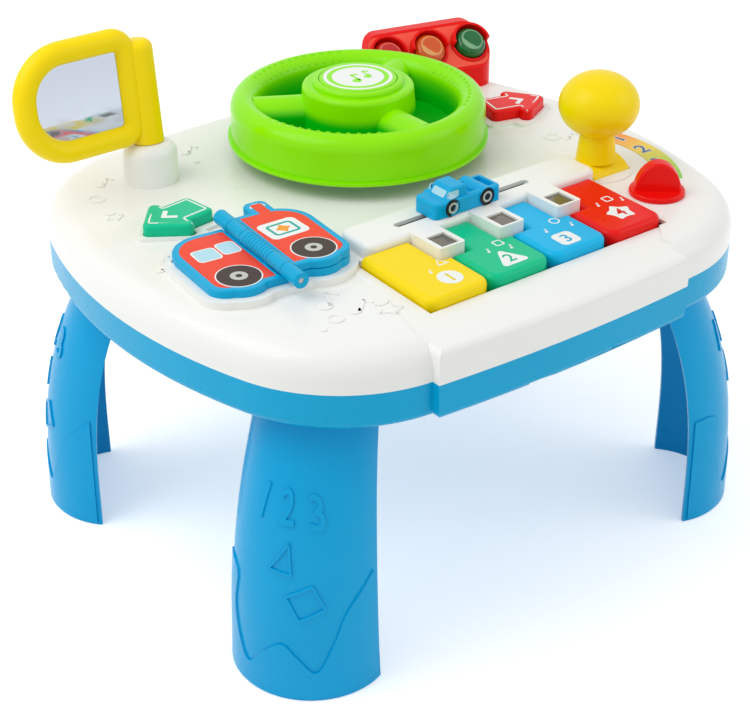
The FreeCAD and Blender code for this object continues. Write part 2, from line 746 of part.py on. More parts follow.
# Steering wheel
def wheel_profile():
    flange_top = WHEEL_FLANGE_Z + 2.0
    crest = WHEEL_CREST_Z
    inner = WHEEL_OPEN_R
    points = [
        (WHEEL_WALL_R - WHEEL_SHELL, WHEEL_FLANGE_Z), (WHEEL_FLANGE_R, WHEEL_FLANGE_Z),
        (WHEEL_FLANGE_R, flange_top), (WHEEL_WALL_R, flange_top), (WHEEL_WALL_R, crest - 10.0)]
    edges = []
    for a, b in zip(points[:-1], points[1:]):
        edges.append(Part.LineSegment(Vector(a[0], 0, a[1]), Vector(b[0], 0, b[1])).toShape())
    outer_low = Vector(WHEEL_WALL_R, 0, crest - 10.0)
    outer_mid = Vector(WHEEL_WALL_R - 2.6, 0, crest - 3.0)
    top = Vector(WHEEL_WALL_R - WHEEL_CREST_IN, 0, crest)
    inner_low = Vector(inner, 0, crest - 9.5)
    inner_mid = Vector(inner + 2.9, 0, crest - 2.9)
    edges.append(Part.Arc(outer_low, outer_mid, top).toShape())
    edges.append(Part.Arc(top, inner_mid, inner_low).toShape())
    floor_outer = Vector(inner - 2.0, 0, WHEEL_FLOOR_Z)
    edges.append(Part.LineSegment(inner_low, floor_outer).toShape())
    edges.append(Part.LineSegment(floor_outer, Vector(0, 0, WHEEL_FLOOR_Z)).toShape())
    under = WHEEL_FLOOR_Z - WHEEL_SHELL
    edges.append(Part.LineSegment(Vector(0, 0, WHEEL_FLOOR_Z), Vector(0, 0, under)).toShape())
    edges.append(Part.LineSegment(Vector(0, 0, under), Vector(inner + 1.0, 0, under)).toShape())
    in_a = Vector(inner + 3.4, 0, crest - 9.8)
    in_top = Vector(WHEEL_WALL_R - WHEEL_CREST_IN, 0, crest - WHEEL_SHELL)
    in_b = Vector(WHEEL_WALL_R - WHEEL_SHELL, 0, crest - 10.0)
    edges.append(Part.LineSegment(Vector(inner + 1.0, 0, under), in_a).toShape())
    edges.append(Part.Arc(in_a, Vector(inner + 5.3, 0, crest - 4.6), in_top).toShape())
    edges.append(Part.Arc(in_top, Vector(WHEEL_WALL_R - 4.5, 0, crest - 5.2), in_b).toShape())
    edges.append(Part.LineSegment(in_b, Vector(WHEEL_WALL_R - WHEEL_SHELL, 0, WHEEL_FLANGE_Z)).toShape())
    return Part.Face(Part.Wire(edges))


def wheel_hub():
    low = WHEEL_FLOOR_Z - OVERLAP
    hub = Part.makeCone(WHEEL_HUB_R + 3.0, WHEEL_HUB_R, WHEEL_HUB_Z - low, Vector(0, 0, low), Vector(0, 0, 1))
    hub = rounded(hub, 3.0, at_height(WHEEL_HUB_Z))
    crown = cyl(0, 0, WHEEL_HUB_Z - OVERLAP, HUB_RIM_Z, HORN_R + 4.0)
    crown = rounded(crown, 2.0, at_height(HUB_RIM_Z))
    return fuse([hub, crown])


def wheel_spokes():
    spokes = []
    for angle in SPOKE_ANGLES:
        rod = cyl_x(WHEEL_HUB_R - 4.0, WHEEL_OPEN_R + 4.0, 0, WHEEL_CREST_Z - SPOKE_R - 2.0, SPOKE_R)
        skirt = box(WHEEL_HUB_R - 4.0, WHEEL_OPEN_R + 4.0, -SPOKE_R, SPOKE_R, WHEEL_FLOOR_Z - OVERLAP,
                    WHEEL_CREST_Z - SPOKE_R - 2.0)
        spokes.append(turned(rod.fuse(skirt), angle, 0, 0))
    return spokes


def wheel_limits():
    return cyl(0, 0, WHEEL_FLOOR_Z - OVERLAP, WHEEL_CREST_Z, WHEEL_OPEN_R + 3.0)


def horn_pocket():
    pocket = cyl(0, 0, HUB_RIM_Z - HORN_THICK - HORN_TRAVEL - 0.6, HUB_RIM_Z + 1.0, HORN_R + HORN_CLEARANCE)
    well = cyl(0, 0, WHEEL_FLOOR_Z + 6.0, HUB_RIM_Z, HORN_R - 6.0)
    return pocket.fuse(well)


def steering_wheel():
    ring = wheel_profile().revolve(Vector(0, 0, 0), Vector(0, 0, 1), 360)
    spokes = fuse(wheel_spokes()).common(wheel_limits())
    wheel = fuse([ring, spokes, wheel_hub()])
    hollow = cyl(0, 0, WHEEL_FLOOR_Z - WHEEL_SHELL - 1.0, WHEEL_FLOOR_Z + 3.0, WHEEL_HUB_R - 3.0)
    hollow = hollow.cut(cyl(0, 0, 0, 2 * TOP_Z, SHAFT_R + 3.0))
    wheel = wheel.cut(horn_pocket()).cut(hollow)
    shaft = cyl(0, 0, SHAFT_END_Z, WHEEL_FLOOR_Z + 3.0, SHAFT_R)
    bore = cyl(0, 0, SHAFT_END_Z - 1.0, SHAFT_END_Z + 16.0, SCREW_R + SCREW_FIT)
    wheel = fuse([wheel, shaft]).cut(bore)
    wheel.translate(Vector(WHEEL_X, WHEEL_Y, 0))
    return wheel


def horn_button():
    low = HUB_RIM_Z - HORN_THICK
    cap = cyl(WHEEL_X, WHEEL_Y, low, HUB_RIM_Z + 0.6, HORN_R)
    cap = rounded(cap, 1.2, at_height(HUB_RIM_Z + 0.6))
    stem = cyl(WHEEL_X, WHEEL_Y, horn_dome_top() + HORN_TRAVEL + 0.3, low + OVERLAP, 5.0)
    guide = tube(WHEEL_X, WHEEL_Y, low - 6.0, low + OVERLAP, HORN_R - 6.6, HORN_R - 8.4)
    return fuse([cap, stem, guide])


def horn_dome_top():
    return WHEEL_FLOOR_Z + 6.0 + DOME_H


def horn_dome():
    return rubber_dome(WHEEL_X, WHEEL_Y, WHEEL_FLOOR_Z + 6.0)


def rubber_dome(x, y, z):
    foot = cyl(x, y, z, z + 1.0, DOME_R)
    cone = Part.makeCone(DOME_R - 1.0, 2.6, DOME_H - 1.0 + OVERLAP, Vector(x, y, z + 1.0 - OVERLAP), Vector(0, 0, 1))
    return foot.fuse(cone).removeSplitter()


def pedestal_top():
    return WHEEL_FLOOR_Z - WHEEL_SHELL - PEDESTAL_GAP


def wheel_bush():
    outer = SHAFT_R + SHAFT_CLEARANCE + BUSH_WALL
    sleeve = tube(WHEEL_X, WHEEL_Y, SHAFT_END_Z + PEDESTAL_GAP, pedestal_top() - TINY, outer,
                  SHAFT_R + SHAFT_CLEARANCE)
    collar = tube(WHEEL_X, WHEEL_Y, pedestal_top() - WALL - 1.5, pedestal_top() - WALL, outer + 3.0,
                  SHAFT_R + SHAFT_CLEARANCE)
    return fuse([sleeve, collar])


def wheel_retainer():
    washer = tube(WHEEL_X, WHEEL_Y, SHAFT_END_Z - RETAINER_THICK, SHAFT_END_Z, RETAINER_R, SCREW_R + SCREW_FIT)
    return washer


def wheel_screw():
    return screw_at(WHEEL_X, WHEEL_Y, SHAFT_END_Z - RETAINER_THICK - SCREW_HEAD_H, 14.0)


# Arrow buttons, drawn pointing along -X and then turned
def arrow_plan(grow):
    head = ARROW_HEAD + grow
    half = ARROW_HALF + grow
    tail = ARROW_TAIL + grow
    tail_half = ARROW_TAIL_HALF + grow
    return [(-head, 0.0), (2.0 + grow, half), (2.0 + grow, tail_half), (tail, tail_half),
            (tail, -tail_half), (2.0 + grow, -tail_half), (2.0 + grow, -half)]


def arrow_solid(grow, z0, z1, turn, x, y, right):
    shape = prism(arrow_plan(grow), z0, z1)

    def convex(edge):
        return upright(edge) and not (abs(edge.BoundBox.YMin) < ARROW_HALF - 2.0 + grow
                                      and abs(edge.BoundBox.XMin - 2.0 - grow) < 1.0)
    shape = rounded(shape, ARROW_ROUND, convex)
    angle = turn + (180.0 if right else 0.0)
    shape.rotate(Vector(0, 0, 0), Vector(0, 0, 1), angle)
    shape.translate(Vector(x, y, 0))
    return shape


def arrow_at(side, grow, z0, z1):
    if side == "left":
        return arrow_solid(grow, z0, z1, LEFT_ARROW_TURN, LEFT_ARROW_X, LEFT_ARROW_Y, False)
    return arrow_solid(grow, z0, z1, RIGHT_ARROW_TURN, RIGHT_ARROW_X, RIGHT_ARROW_Y, True)


def arrow_centre(side):
    return (LEFT_ARROW_X, LEFT_ARROW_Y) if side == "left" else (RIGHT_ARROW_X, RIGHT_ARROW_Y)


def arrow_button(side):
    x, y = arrow_centre(side)
    body = arrow_at(side, 0.0, TOP_Z - WALL - 1.0, ARROW_TOP_Z)
    body = rounded(body, 2.2, at_height(ARROW_TOP_Z))
    flange = arrow_at(side, ARROW_FLANGE + ARROW_CLEARANCE, TOP_Z - WALL - 1.8, TOP_Z - WALL - 0.3)
    hollow = arrow_at(side, -WALL, TOP_Z - WALL - 3.0, ARROW_TOP_Z - WALL - 1.0)
    plunger = cyl(x, y, dome_top() + BUTTON_TRAVEL + 0.3, ARROW_TOP_Z - WALL, 3.0)
    return fuse([fuse([body, flange]).cut(hollow), plunger])


# Flip book, drawn with the spine along Y at the origin and then turned
def book_half_plan(side, grow, z0, z1):
    half_w = BOOK_HALF_W + grow
    plate = box(0, half_w, BOOK_BOTTOM_V - grow, BOOK_TOP_V + grow, z0, z1)

    def outer(edge):
        return upright(edge) and edge.BoundBox.XMin > half_w - 1.0
    upper = [e for e in plate.Edges if outer(e) and e.BoundBox.YMin > 0]
    lower = [e for e in plate.Edges if outer(e) and e.BoundBox.YMin < 0]
    plate = plate.makeFillet(BOOK_UPPER_R + grow, upper)
    lower = [e for e in plate.Edges if upright(e) and e.BoundBox.XMin > half_w - 1.0 and e.BoundBox.YMin < 0]
    plate = plate.makeFillet(BOOK_LOWER_R + grow, lower)
    arch = cyl(BOOK_WHEEL_U, BOOK_WHEEL_V, z0, z1, BOOK_WHEEL_R + grow)
    parts = [plate, arch]
    if side == "right":
        siren = soft_box(SIREN_LEFT - grow, SIREN_RIGHT + grow, BOOK_TOP_V - BOOK_LOWER_R,
                         BOOK_TOP_V + SIREN_HEIGHT + grow, z0, z1, SIREN_R + grow)
        parts.append(siren)
    shape = fuse(parts)
    if side == "left":
        shape = mirrored(shape, Vector(1, 0, 0))
    return shape


def place_book(shape):
    shape = shape.copy()
    shape.rotate(Vector(0, 0, 0), Vector(0, 0, 1), BOOK_TURN)
    shape.translate(Vector(BOOK_X, BOOK_Y, 0))
    return shape


def book_base_top():
    return BOOK_PAD_Z + BOOK_BASE_THICK


def spine_z():
    return page_bottom() + BOOK_PAGE_THICK / 2


def page_bottom():
    return book_base_top() + BOOK_GAP


def page_top():
    return page_bottom() + BOOK_PAGE_THICK


def knuckle_bands(page):
    start = -BOOK_SPINE_HALF
    bands = []
    width = 2 * BOOK_SPINE_HALF / BOOK_KNUCKLES
    for index in range(BOOK_KNUCKLES):
        if (index % 2 == 1) == page:
            bands.append((start + index * width + BOOK_GAP / 2, start + (index + 1) * width - BOOK_GAP / 2))
    return bands


def spine_barrel(page):
    rolls = []
    for low, high in knuckle_bands(page):
        rolls.append(Part.makeCylinder(BOOK_SPINE_R, high - low, Vector(0, low, spine_z()), Vector(0, 1, 0)))
    return rolls


def spine_clearance(page):
    cuts = []
    for low, high in knuckle_bands(not page):
        cuts.append(Part.makeCylinder(BOOK_SPINE_R + BOOK_GAP, high - low + BOOK_GAP, Vector(0, low - BOOK_GAP / 2, spine_z()),
                                      Vector(0, 1, 0)))
    return cuts


def spine_bore(grow):
    return Part.makeCylinder(BOOK_PIN_R + grow, 2 * BOOK_SPINE_HALF + 4.0, Vector(0, -BOOK_SPINE_HALF - 2.0, spine_z()),
                             Vector(0, 1, 0))


def book_outline(grow, z0, z1):
    return fuse([book_half_plan("left", grow, z0, z1), book_half_plan("right", grow, z0, z1)])


def print_pocket(side, top, extra):
    plan = book_half_plan(side, -BOOK_FRAME - extra, top - PRINT_THICK, top + TINY)
    band = box(-BOOK_SPINE_R - 1.2 - extra, BOOK_SPINE_R + 1.2 + extra, -100.0, 100.0, top - 5.0, top + 5.0)
    return plan.cut(band)


def book_base():
    plate = book_outline(0.0, BOOK_PAD_Z, book_base_top())
    plate = rounded(plate, 1.0, at_height(book_base_top()))
    plate = plate.cut(print_pocket("left", book_base_top(), 0.0)).cut(print_pocket("right", book_base_top(), 0.0))
    body = fuse([plate.cut(fuse(spine_clearance(False)))] + spine_barrel(False))
    body = body.cut(box(-10.0, 10.0, -100.0, 100.0, 0.0, BOOK_PAD_Z))
    return place_book(body.cut(spine_bore(0.05)))


def book_page():
    plate = book_half_plan("right", 0.0, page_bottom(), page_top())
    plate = rounded(plate, 1.2, at_height(page_top()))
    plate = rounded(plate, 0.8, at_height(page_bottom()))
    plate = plate.cut(print_pocket("right", page_top(), 0.0))
    rolls = fuse(spine_barrel(True))
    body = fuse([plate.cut(fuse(spine_clearance(True))), rolls])
    return place_book(body.cut(spine_bore(0.05)))


def book_pin():
    pin = Part.makeCylinder(BOOK_PIN_R, 2 * BOOK_SPINE_HALF - 1.0, Vector(0, -BOOK_SPINE_HALF + 0.5, spine_z()),
                            Vector(0, 1, 0))
    return place_book(pin)


def book_base_print():
    sheets = [print_pocket(side, book_base_top(), PRINT_CLEARANCE) for side in ("left", "right")]
    return place_book(Part.makeCompound(sheets))


def book_page_print():
    return place_book(print_pocket("right", page_top(), PRINT_CLEARANCE))


# Gear lever: a drum on a cross axle with the stick and ball above it
def gear_lever():
    drum = cyl_x(GEAR_X - GEAR_DRUM_HALF, GEAR_X + GEAR_DRUM_HALF, GEAR_Y, GEAR_PIVOT_Z, GEAR_DRUM_R)
    drum = drum.cut(box(GEAR_X - 40, GEAR_X + 40, GEAR_Y - 40, GEAR_Y + 40, 0, GEAR_PIVOT_Z - 6.0))
    top = GEAR_PIVOT_Z + GEAR_DRUM_R
    flare = Part.makeCone(GEAR_STEM_R + 0.5, GEAR_STEM_R - 1.0, 14.0, Vector(GEAR_X, GEAR_Y, top - 1.0), Vector(0, 0, 1))
    stem = cyl(GEAR_X, GEAR_Y, top + 8.0, GEAR_BALL_Z, GEAR_STEM_R - 1.0)
    ball = Part.makeSphere(GEAR_BALL_R, Vector(0, 0, 0))
    matrix = FreeCAD.Matrix()
    matrix.scale(1.0, 1.0, GEAR_BALL_SQUASH)
    ball = ball.transformGeometry(matrix)
    ball.translate(Vector(GEAR_X, GEAR_Y, GEAR_BALL_Z))
    body = fuse([drum, flare, stem, ball])
    bore = cyl_x(GEAR_X - 30, GEAR_X + 30, GEAR_Y, GEAR_PIVOT_Z, GEAR_AXLE_R + 0.05)
    hollow = cyl_x(GEAR_X - GEAR_DRUM_HALF + WALL, GEAR_X + GEAR_DRUM_HALF - WALL, GEAR_Y, GEAR_PIVOT_Z, GEAR_DRUM_R - WALL)
    hollow = hollow.cut(box(GEAR_X - 3.0, GEAR_X + 3.0, GEAR_Y - 40, GEAR_Y + 40, 0, 2 * TOP_Z))
    return body.cut(hollow).cut(bore)


def gear_opening():
    half_x = GEAR_DRUM_HALF + GEAR_OPEN_CLEARANCE
    drum = cyl_x(GEAR_X - half_x, GEAR_X + half_x, GEAR_Y, GEAR_PIVOT_Z, GEAR_DRUM_R + GEAR_OPEN_CLEARANCE)
    return drum


def gear_cheeks():
    outer = GEAR_DRUM_HALF + GEAR_OPEN_CLEARANCE
    cheeks = []
    for side in (-1, 1):
        a = GEAR_X + side * outer
        b = GEAR_X + side * (outer + GEAR_CHEEK)
        cheeks.append(box(min(a, b), max(a, b), GEAR_Y - 6.0, GEAR_Y + 6.0, GEAR_PIVOT_Z - 5.0, TOP_Z - WALL + OVERLAP))
    return cheeks


def gear_axle():
    reach = GEAR_DRUM_HALF + GEAR_OPEN_CLEARANCE + GEAR_CHEEK
    return cyl_x(GEAR_X - reach, GEAR_X + reach, GEAR_Y, GEAR_PIVOT_Z, GEAR_AXLE_R)


def gear_axle_bore():
    return cyl_x(GEAR_X - 30.0, GEAR_X + 30.0, GEAR_Y, GEAR_PIVOT_Z, GEAR_AXLE_R + 0.05)


def dial_ring(grow, z0, z1):
    ring = tube(DIAL_CX, DIAL_CY, z0, z1, DIAL_OUTER_R + grow, DIAL_INNER_R - grow)
    sweep = DIAL_TO_DEG - DIAL_FROM_DEG
    wedge = Part.makeCylinder(DIAL_OUTER_R + 10.0, z1 - z0, Vector(DIAL_CX, DIAL_CY, z0), Vector(0, 0, 1), sweep)
    wedge.rotate(Vector(DIAL_CX, DIAL_CY, 0), Vector(0, 0, 1), DIAL_FROM_DEG)
    return ring.common(wedge)


def gear_dial():
    return dial_ring(-0.1, TOP_Z - DIAL_SINK, TOP_Z - DIAL_SINK + DIAL_THICK)


# Rotary knob with a half-round grip fin
def rotary_knob():
    low = TOP_Z + KNOB_LIFT
    base = cyl(KNOB_X, KNOB_Y, low, low + KNOB_BASE_H, KNOB_BASE_R)
    base = rounded(base, 1.4, at_height(low + KNOB_BASE_H))
    side = KNOB_Y - KNOB_FIN_THICK / 2
    dome = Part.Ellipse(Vector(0, 0, 0), KNOB_FIN_TOP, KNOB_FIN_R).toShape()
    fin = Part.Face(Part.Wire([dome])).extrude(Vector(0, 0, KNOB_FIN_THICK))
    fin.rotate(Vector(0, 0, 0), Vector(0, 0, 1), 90.0)
    fin.rotate(Vector(0, 0, 0), Vector(1, 0, 0), 90.0)
    fin.translate(Vector(KNOB_X, side + KNOB_FIN_THICK, low))
    fin = fin.cut(box(KNOB_X - 60, KNOB_X + 60, KNOB_Y - 60, KNOB_Y + 60, 0, low + 0.5))

    def crown(edge):
        box_ = edge.BoundBox
        return box_.ZMax > low + KNOB_FIN_TOP / 2
    fin = rounded(fin, KNOB_FIN_EDGE_R, crown)
    fin.rotate(Vector(KNOB_X, KNOB_Y, 0), Vector(0, 0, 1), -38.0)
    shaft = cyl(KNOB_X, KNOB_Y, encoder_top(), low + OVERLAP, KNOB_SHAFT_R)
    return fuse([base, fin, shaft])


def encoder_top():
    return TOP_Z - WALL - 8.0


def knob_encoder():
    top = encoder_top()
    can = soft_box(KNOB_X - 7, KNOB_X + 7, KNOB_Y - 7, KNOB_Y + 7, top - 7.0, top - 0.3, 1.0)
    ears = box(KNOB_X - 7, KNOB_X - 5.5, KNOB_Y - 4, KNOB_Y + 4, top - 1.0, TOP_Z - WALL)
    other = box(KNOB_X + 5.5, KNOB_X + 7, KNOB_Y - 4, KNOB_Y + 4, top - 1.0, TOP_Z - WALL)
    return fuse([can, ears, other])


# Mirror, drawn upright about its hinge axis and then leaned back
def lean_mirror(shape):
    shape = shape.copy()
    shape.rotate(Vector(0, 0, 0), Vector(1, 0, 0), -MIRROR_LEAN)
    shape.translate(Vector(POST_X, POST_Y, POST_TOP_Z))
    return shape


def mirror_centre_z():
    return FRAME_LIFT + FRAME_HALF_H + FRAME_TUBE_R


def mirror_outline(offset, y):
    near = -FRAME_START + offset
    far = -FRAME_START - FRAME_WIDTH - offset
    mid = mirror_centre_z()
    low = mid - FRAME_HALF_H - offset
    high = mid + FRAME_HALF_H + offset
    near_r = FRAME_NEAR_R + offset
    far_r = FRAME_END_R + offset
    turn = math.sqrt(0.5)

    def at(x, z):
        return Vector(x, y, z)

    def corner(cx, cz, radius, sx, sz):
        start = at(cx + radius * sx, cz)
        middle = at(cx + radius * sx * turn, cz + radius * sz * turn)
        end = at(cx, cz + radius * sz)
        return start, middle, end

    a0, a1, a2 = corner(near - near_r, high - near_r, near_r, 1, 1)
    b0, b1, b2 = corner(far + far_r, high - far_r, far_r, -1, 1)
    c0, c1, c2 = corner(far + far_r, low + far_r, far_r, -1, -1)
    d0, d1, d2 = corner(near - near_r, low + near_r, near_r, 1, -1)
    edges = [
        Part.Arc(a0, a1, a2).toShape(),
        Part.LineSegment(a2, b2).toShape(),
        Part.Arc(b2, b1, b0).toShape(),
        Part.LineSegment(b0, c0).toShape(),
        Part.Arc(c0, c1, c2).toShape(),
        Part.LineSegment(c2, d2).toShape(),
        Part.Arc(d2, d1, d0).toShape(),
        Part.LineSegment(d0, a0).toShape()]
    return Part.Wire(edges)


def mirror_plate(offset, y0, y1):
    return Part.Face(mirror_outline(offset, y0)).extrude(Vector(0, y1 - y0, 0))


def mirror_ring():
    path = mirror_outline(0.0, 0.0)
    start = Vector(-FRAME_START, 0, mirror_centre_z())
    circle = Part.Wire(Part.makeCircle(FRAME_TUBE_R, start, Vector(0, 0, 1)))
    turned_path = Part.Wire(Part.__sortEdges__(split_near_side(path)))
    return turned_path.makePipeShell([circle], True, False)


def split_near_side(path):
    mid = Vector(-FRAME_START, 0, mirror_centre_z())
    edges = []
    for edge in path.Edges:
        first = edge.Vertexes[0].Point
        last = edge.Vertexes[-1].Point
        straight = edge.Curve.TypeId == "Part::GeomLine"
        if straight and abs(first.x - mid.x) < TINY and abs(last.x - mid.x) < TINY:
            edges = [Part.LineSegment(mid, last).toShape()] + edges + [Part.LineSegment(first, mid).toShape()]
        else:
            edges.append(edge)
    return edges


def mirror_frame():
    ring = mirror_ring()
    groove = mirror_plate(-FRAME_TUBE_R + GLASS_INSERT + GLASS_CLEARANCE, -GLASS_THICK - GLASS_CLEARANCE,
                          BACK_THICK + 2 * GLASS_CLEARANCE)
    barrel = cyl(0, 0, BARREL_GAP, BARREL_LENGTH, BARREL_R)
    barrel = rounded(barrel, BARREL_TOP_R, at_height(BARREL_LENGTH))
    spigot = cyl(0, 0, -SPIGOT_DEPTH, BARREL_GAP + OVERLAP, SPIGOT_R)
    bore = cyl(0, 0, -SPIGOT_DEPTH - 1.0, -SPIGOT_DEPTH + 14.0, SCREW_R + SCREW_FIT)
    frame = fuse([ring.cut(groove), barrel.cut(groove), spigot]).cut(bore)
    return lean_mirror(frame)


def mirror_glass():
    return lean_mirror(mirror_plate(-FRAME_TUBE_R + GLASS_INSERT, -GLASS_THICK, 0.0))


def mirror_back():
    return lean_mirror(mirror_plate(-FRAME_TUBE_R + GLASS_INSERT, GLASS_CLEARANCE, GLASS_CLEARANCE + BACK_THICK))


def mirror_screw():
    head_low = -SPIGOT_DEPTH - 2 * SCREW_HEAD_H
    washer = cyl(0, 0, -SPIGOT_DEPTH - SCREW_HEAD_H, -SPIGOT_DEPTH, SPIGOT_R + 2.0)
    head = screw_at(0, 0, head_low, 12.0 + SCREW_HEAD_H)
    return lean_mirror(fuse([washer, head]))


def post_plane_cut(lift):
    reach = 3 * POST_R
    block = box(-reach, reach, -reach, reach, lift, lift + reach)
    return lean_mirror(block)


def mirror_post():
    post = cyl(POST_X, POST_Y, TOP_Z - WALL, POST_TOP_Z + POST_R, POST_R).cut(post_plane_cut(0.0))
    rim = [e for e in post.Edges if e.BoundBox.ZMin > POST_TOP_Z - POST_R / 2 and e.BoundBox.XLength > POST_R]
    return post.makeFillet(POST_DOME, rim)


def mirror_post_hollow():
    hollow = cyl(POST_X, POST_Y, TOP_Z - WALL - 1.0, POST_TOP_Z + POST_R, POST_R - WALL)
    hollow = hollow.cut(post_plane_cut(-POST_DOME - 1.0))
    sleeve = lean_mirror(cyl(0, 0, -SPIGOT_DEPTH + BARREL_GAP, 0.0, SPIGOT_R + WALL))
    return hollow.cut(sleeve)


def mirror_bore():
    return lean_mirror(cyl(0, 0, -SPIGOT_DEPTH - 20.0, 1.0, SPIGOT_R + SPIGOT_CLEARANCE))


# Traffic light box, drawn along X with its sloping face towards the child
def place_light(shape):
    shape = shape.copy()
    shape.rotate(Vector(0, 0, 0), Vector(0, 0, 1), LIGHT_TURN)
    shape.translate(Vector(LIGHT_X, LIGHT_Y, TOP_Z))
    return shape


def light_profile(inset, z0):
    front = -LIGHT_DEPTH / 2 + inset
    back = LIGHT_DEPTH / 2 - inset
    run = LIGHT_DEPTH - LIGHT_TOP_DEPTH
    rise = LIGHT_HEIGHT - LIGHT_FRONT_H
    slope = math.atan2(rise, run)
    shift = inset / math.cos(slope)
    low_z = LIGHT_FRONT_H + inset * math.tan(slope) - shift
    top_z = LIGHT_HEIGHT - inset
    top_y = -LIGHT_DEPTH / 2 + (top_z - LIGHT_FRONT_H + shift) / math.tan(slope)
    return [(front, z0), (front, low_z), (top_y, top_z), (back, top_z), (back, z0)]


def light_prism(inset, z0):
    half = LIGHT_HALF_L - inset
    points = [Vector(-half, y, z) for y, z in light_profile(inset, z0)]
    return Part.Face(Part.makePolygon(points + points[:1])).extrude(Vector(2 * half, 0, 0))


def light_solid(inset, z0):
    half = LIGHT_HALF_L - inset
    depth = LIGHT_DEPTH / 2 - inset
    radius = LIGHT_ROUND - inset
    plan = soft_box(-half, half, -depth, depth, z0, LIGHT_HEIGHT, radius)
    front = box(-half, half, -depth, depth, z0, LIGHT_HEIGHT - inset)
    front = rounded(front, radius, lambda e: e.BoundBox.YLength > depth and e.BoundBox.ZMin > LIGHT_FRONT_H)
    return light_prism(inset, z0).common(plan).common(front)


def lower_light(shape):
    shape = shape.copy()
    shape.translate(Vector(-LIGHT_X, -LIGHT_Y, -TOP_Z))
    shape.rotate(Vector(0, 0, 0), Vector(0, 0, 1), -LIGHT_TURN)
    return shape


def trim_light(shape, inset):
    wheel = cyl(WHEEL_X, WHEEL_Y, SEAM_Z, 2 * TOP_Z, WHEEL_FLANGE_R + LIGHT_WHEEL_GAP + inset)
    return shape.cut(lower_light(wheel))


def face_angle():
    return math.degrees(math.atan2(LIGHT_HEIGHT - LIGHT_FRONT_H, LIGHT_DEPTH - LIGHT_TOP_DEPTH))


def on_face(shape):
    shape = shape.copy()
    shape.rotate(Vector(0, 0, 0), Vector(1, 0, 0), face_angle())
    mid_y = -LIGHT_TOP_DEPTH / 2
    mid_z = (LIGHT_HEIGHT + LIGHT_FRONT_H) / 2
    shape.translate(Vector(0, mid_y, mid_z))
    return shape


def lamp_centres():
    return [-LAMP_PITCH, 0.0, LAMP_PITCH]


def face_half_width():
    return math.hypot(LIGHT_HEIGHT - LIGHT_FRONT_H, LIGHT_DEPTH - LIGHT_TOP_DEPTH) / 2


def face_plate(inset, low, high):
    half_v = face_half_width() - inset
    return soft_box(-LIGHT_HALF_L + inset, LIGHT_HALF_L - inset, -half_v, half_v, low, high, half_v / 2)


def hoods():
    arcs = []
    for u in lamp_centres():
        ring = tube(u, 0, -LIGHT_WALL, HOOD_LENGTH, HOOD_R, HOOD_R - HOOD_WALL)
        upper = box(u - 2 * HOOD_R, u + 2 * HOOD_R, 0.0, 2 * HOOD_R, FACE_THICK, HOOD_LENGTH + 1.0)
        rest = box(u - 2 * HOOD_R, u + 2 * HOOD_R, -2 * HOOD_R, 2 * HOOD_R, -LIGHT_WALL, FACE_THICK)
        arcs.append(ring.common(fuse([upper, rest])))
    return arcs


def traffic_light_housing():
    inside = lower_light(outline_prism(LIGHT_EDGE_GAP, SEAM_Z - LIGHT_SKIRT, TOP_Z))
    skirt = light_solid(0.0, -LIGHT_SKIRT).common(inside)
    outer = trim_light(fuse([light_solid(0.0, 0.0), skirt]), 0.0)
    body = outer.cut(trim_light(light_solid(LIGHT_WALL, -2 * LIGHT_SKIRT), LIGHT_WALL))
    openings = [on_face(cyl(u, 0, -3 * LIGHT_WALL, 2 * FACE_THICK, LAMP_R + LAMP_CLEARANCE)) for u in lamp_centres()]
    openings += [on_face(cyl(u, 0, -2 * LIGHT_WALL, -LIGHT_WALL, LAMP_R + LAMP_FLANGE + LAMP_CLEARANCE))
                 for u in lamp_centres()]
    recess = trim_light(on_face(face_plate(FACE_MARGIN, -FACE_THICK, 3 * HOOD_LENGTH)), LIGHT_WALL)
    rings = [on_face(shape) for shape in hoods()]
    body = body.cut(recess)
    posts = [on_face(cyl(u, 0, -LAMP_BOARD_DROP, -LIGHT_WALL + OVERLAP, 2.6)) for u in board_post_places()]
    feet = []
    for x in housing_screw_places():
        feet.append(box(x - CASING_BOSS_R, x + CASING_BOSS_R, HOUSING_SCREW_Y - CASING_BOSS_R,
                        LIGHT_DEPTH / 2 - LIGHT_WALL + OVERLAP, 0.0, HOUSING_SCREW_LENGTH + WALL))
    body = fuse([body] + rings + posts + feet)
    holes = [on_face(cyl(u, 0, -LAMP_BOARD_DROP - 1.0, -LIGHT_WALL - 1.0, SCREW_R + SCREW_FIT))
             for u in board_post_places()]
    holes += [cyl(x, HOUSING_SCREW_Y, -1.0, HOUSING_SCREW_LENGTH - WALL + 1.0, SCREW_R + SCREW_FIT)
              for x in housing_screw_places()]
    body = place_light(body.cut(fuse(openings)).cut(Part.makeCompound(holes)))
    return body.cut(casing_top(0.0, 0.0))


def housing_screw_places():
    return (-LIGHT_HALF_L + HOUSING_SCREW_LEFT, LIGHT_HALF_L - HOUSING_SCREW_RIGHT)


def board_post_places():
    return (-LAMP_PITCH / 2, LAMP_PITCH / 2)


def traffic_light_face():
    plate = face_plate(FACE_MARGIN + FACE_FIT, -FACE_THICK, 0.0)
    holes = [cyl(u, 0, -5.0, 5.0, HOOD_R + LAMP_CLEARANCE) for u in lamp_centres()]
    plate = on_face(plate.cut(Part.makeCompound(holes)))
    return place_light(trim_light(plate, LIGHT_WALL + FACE_FIT))


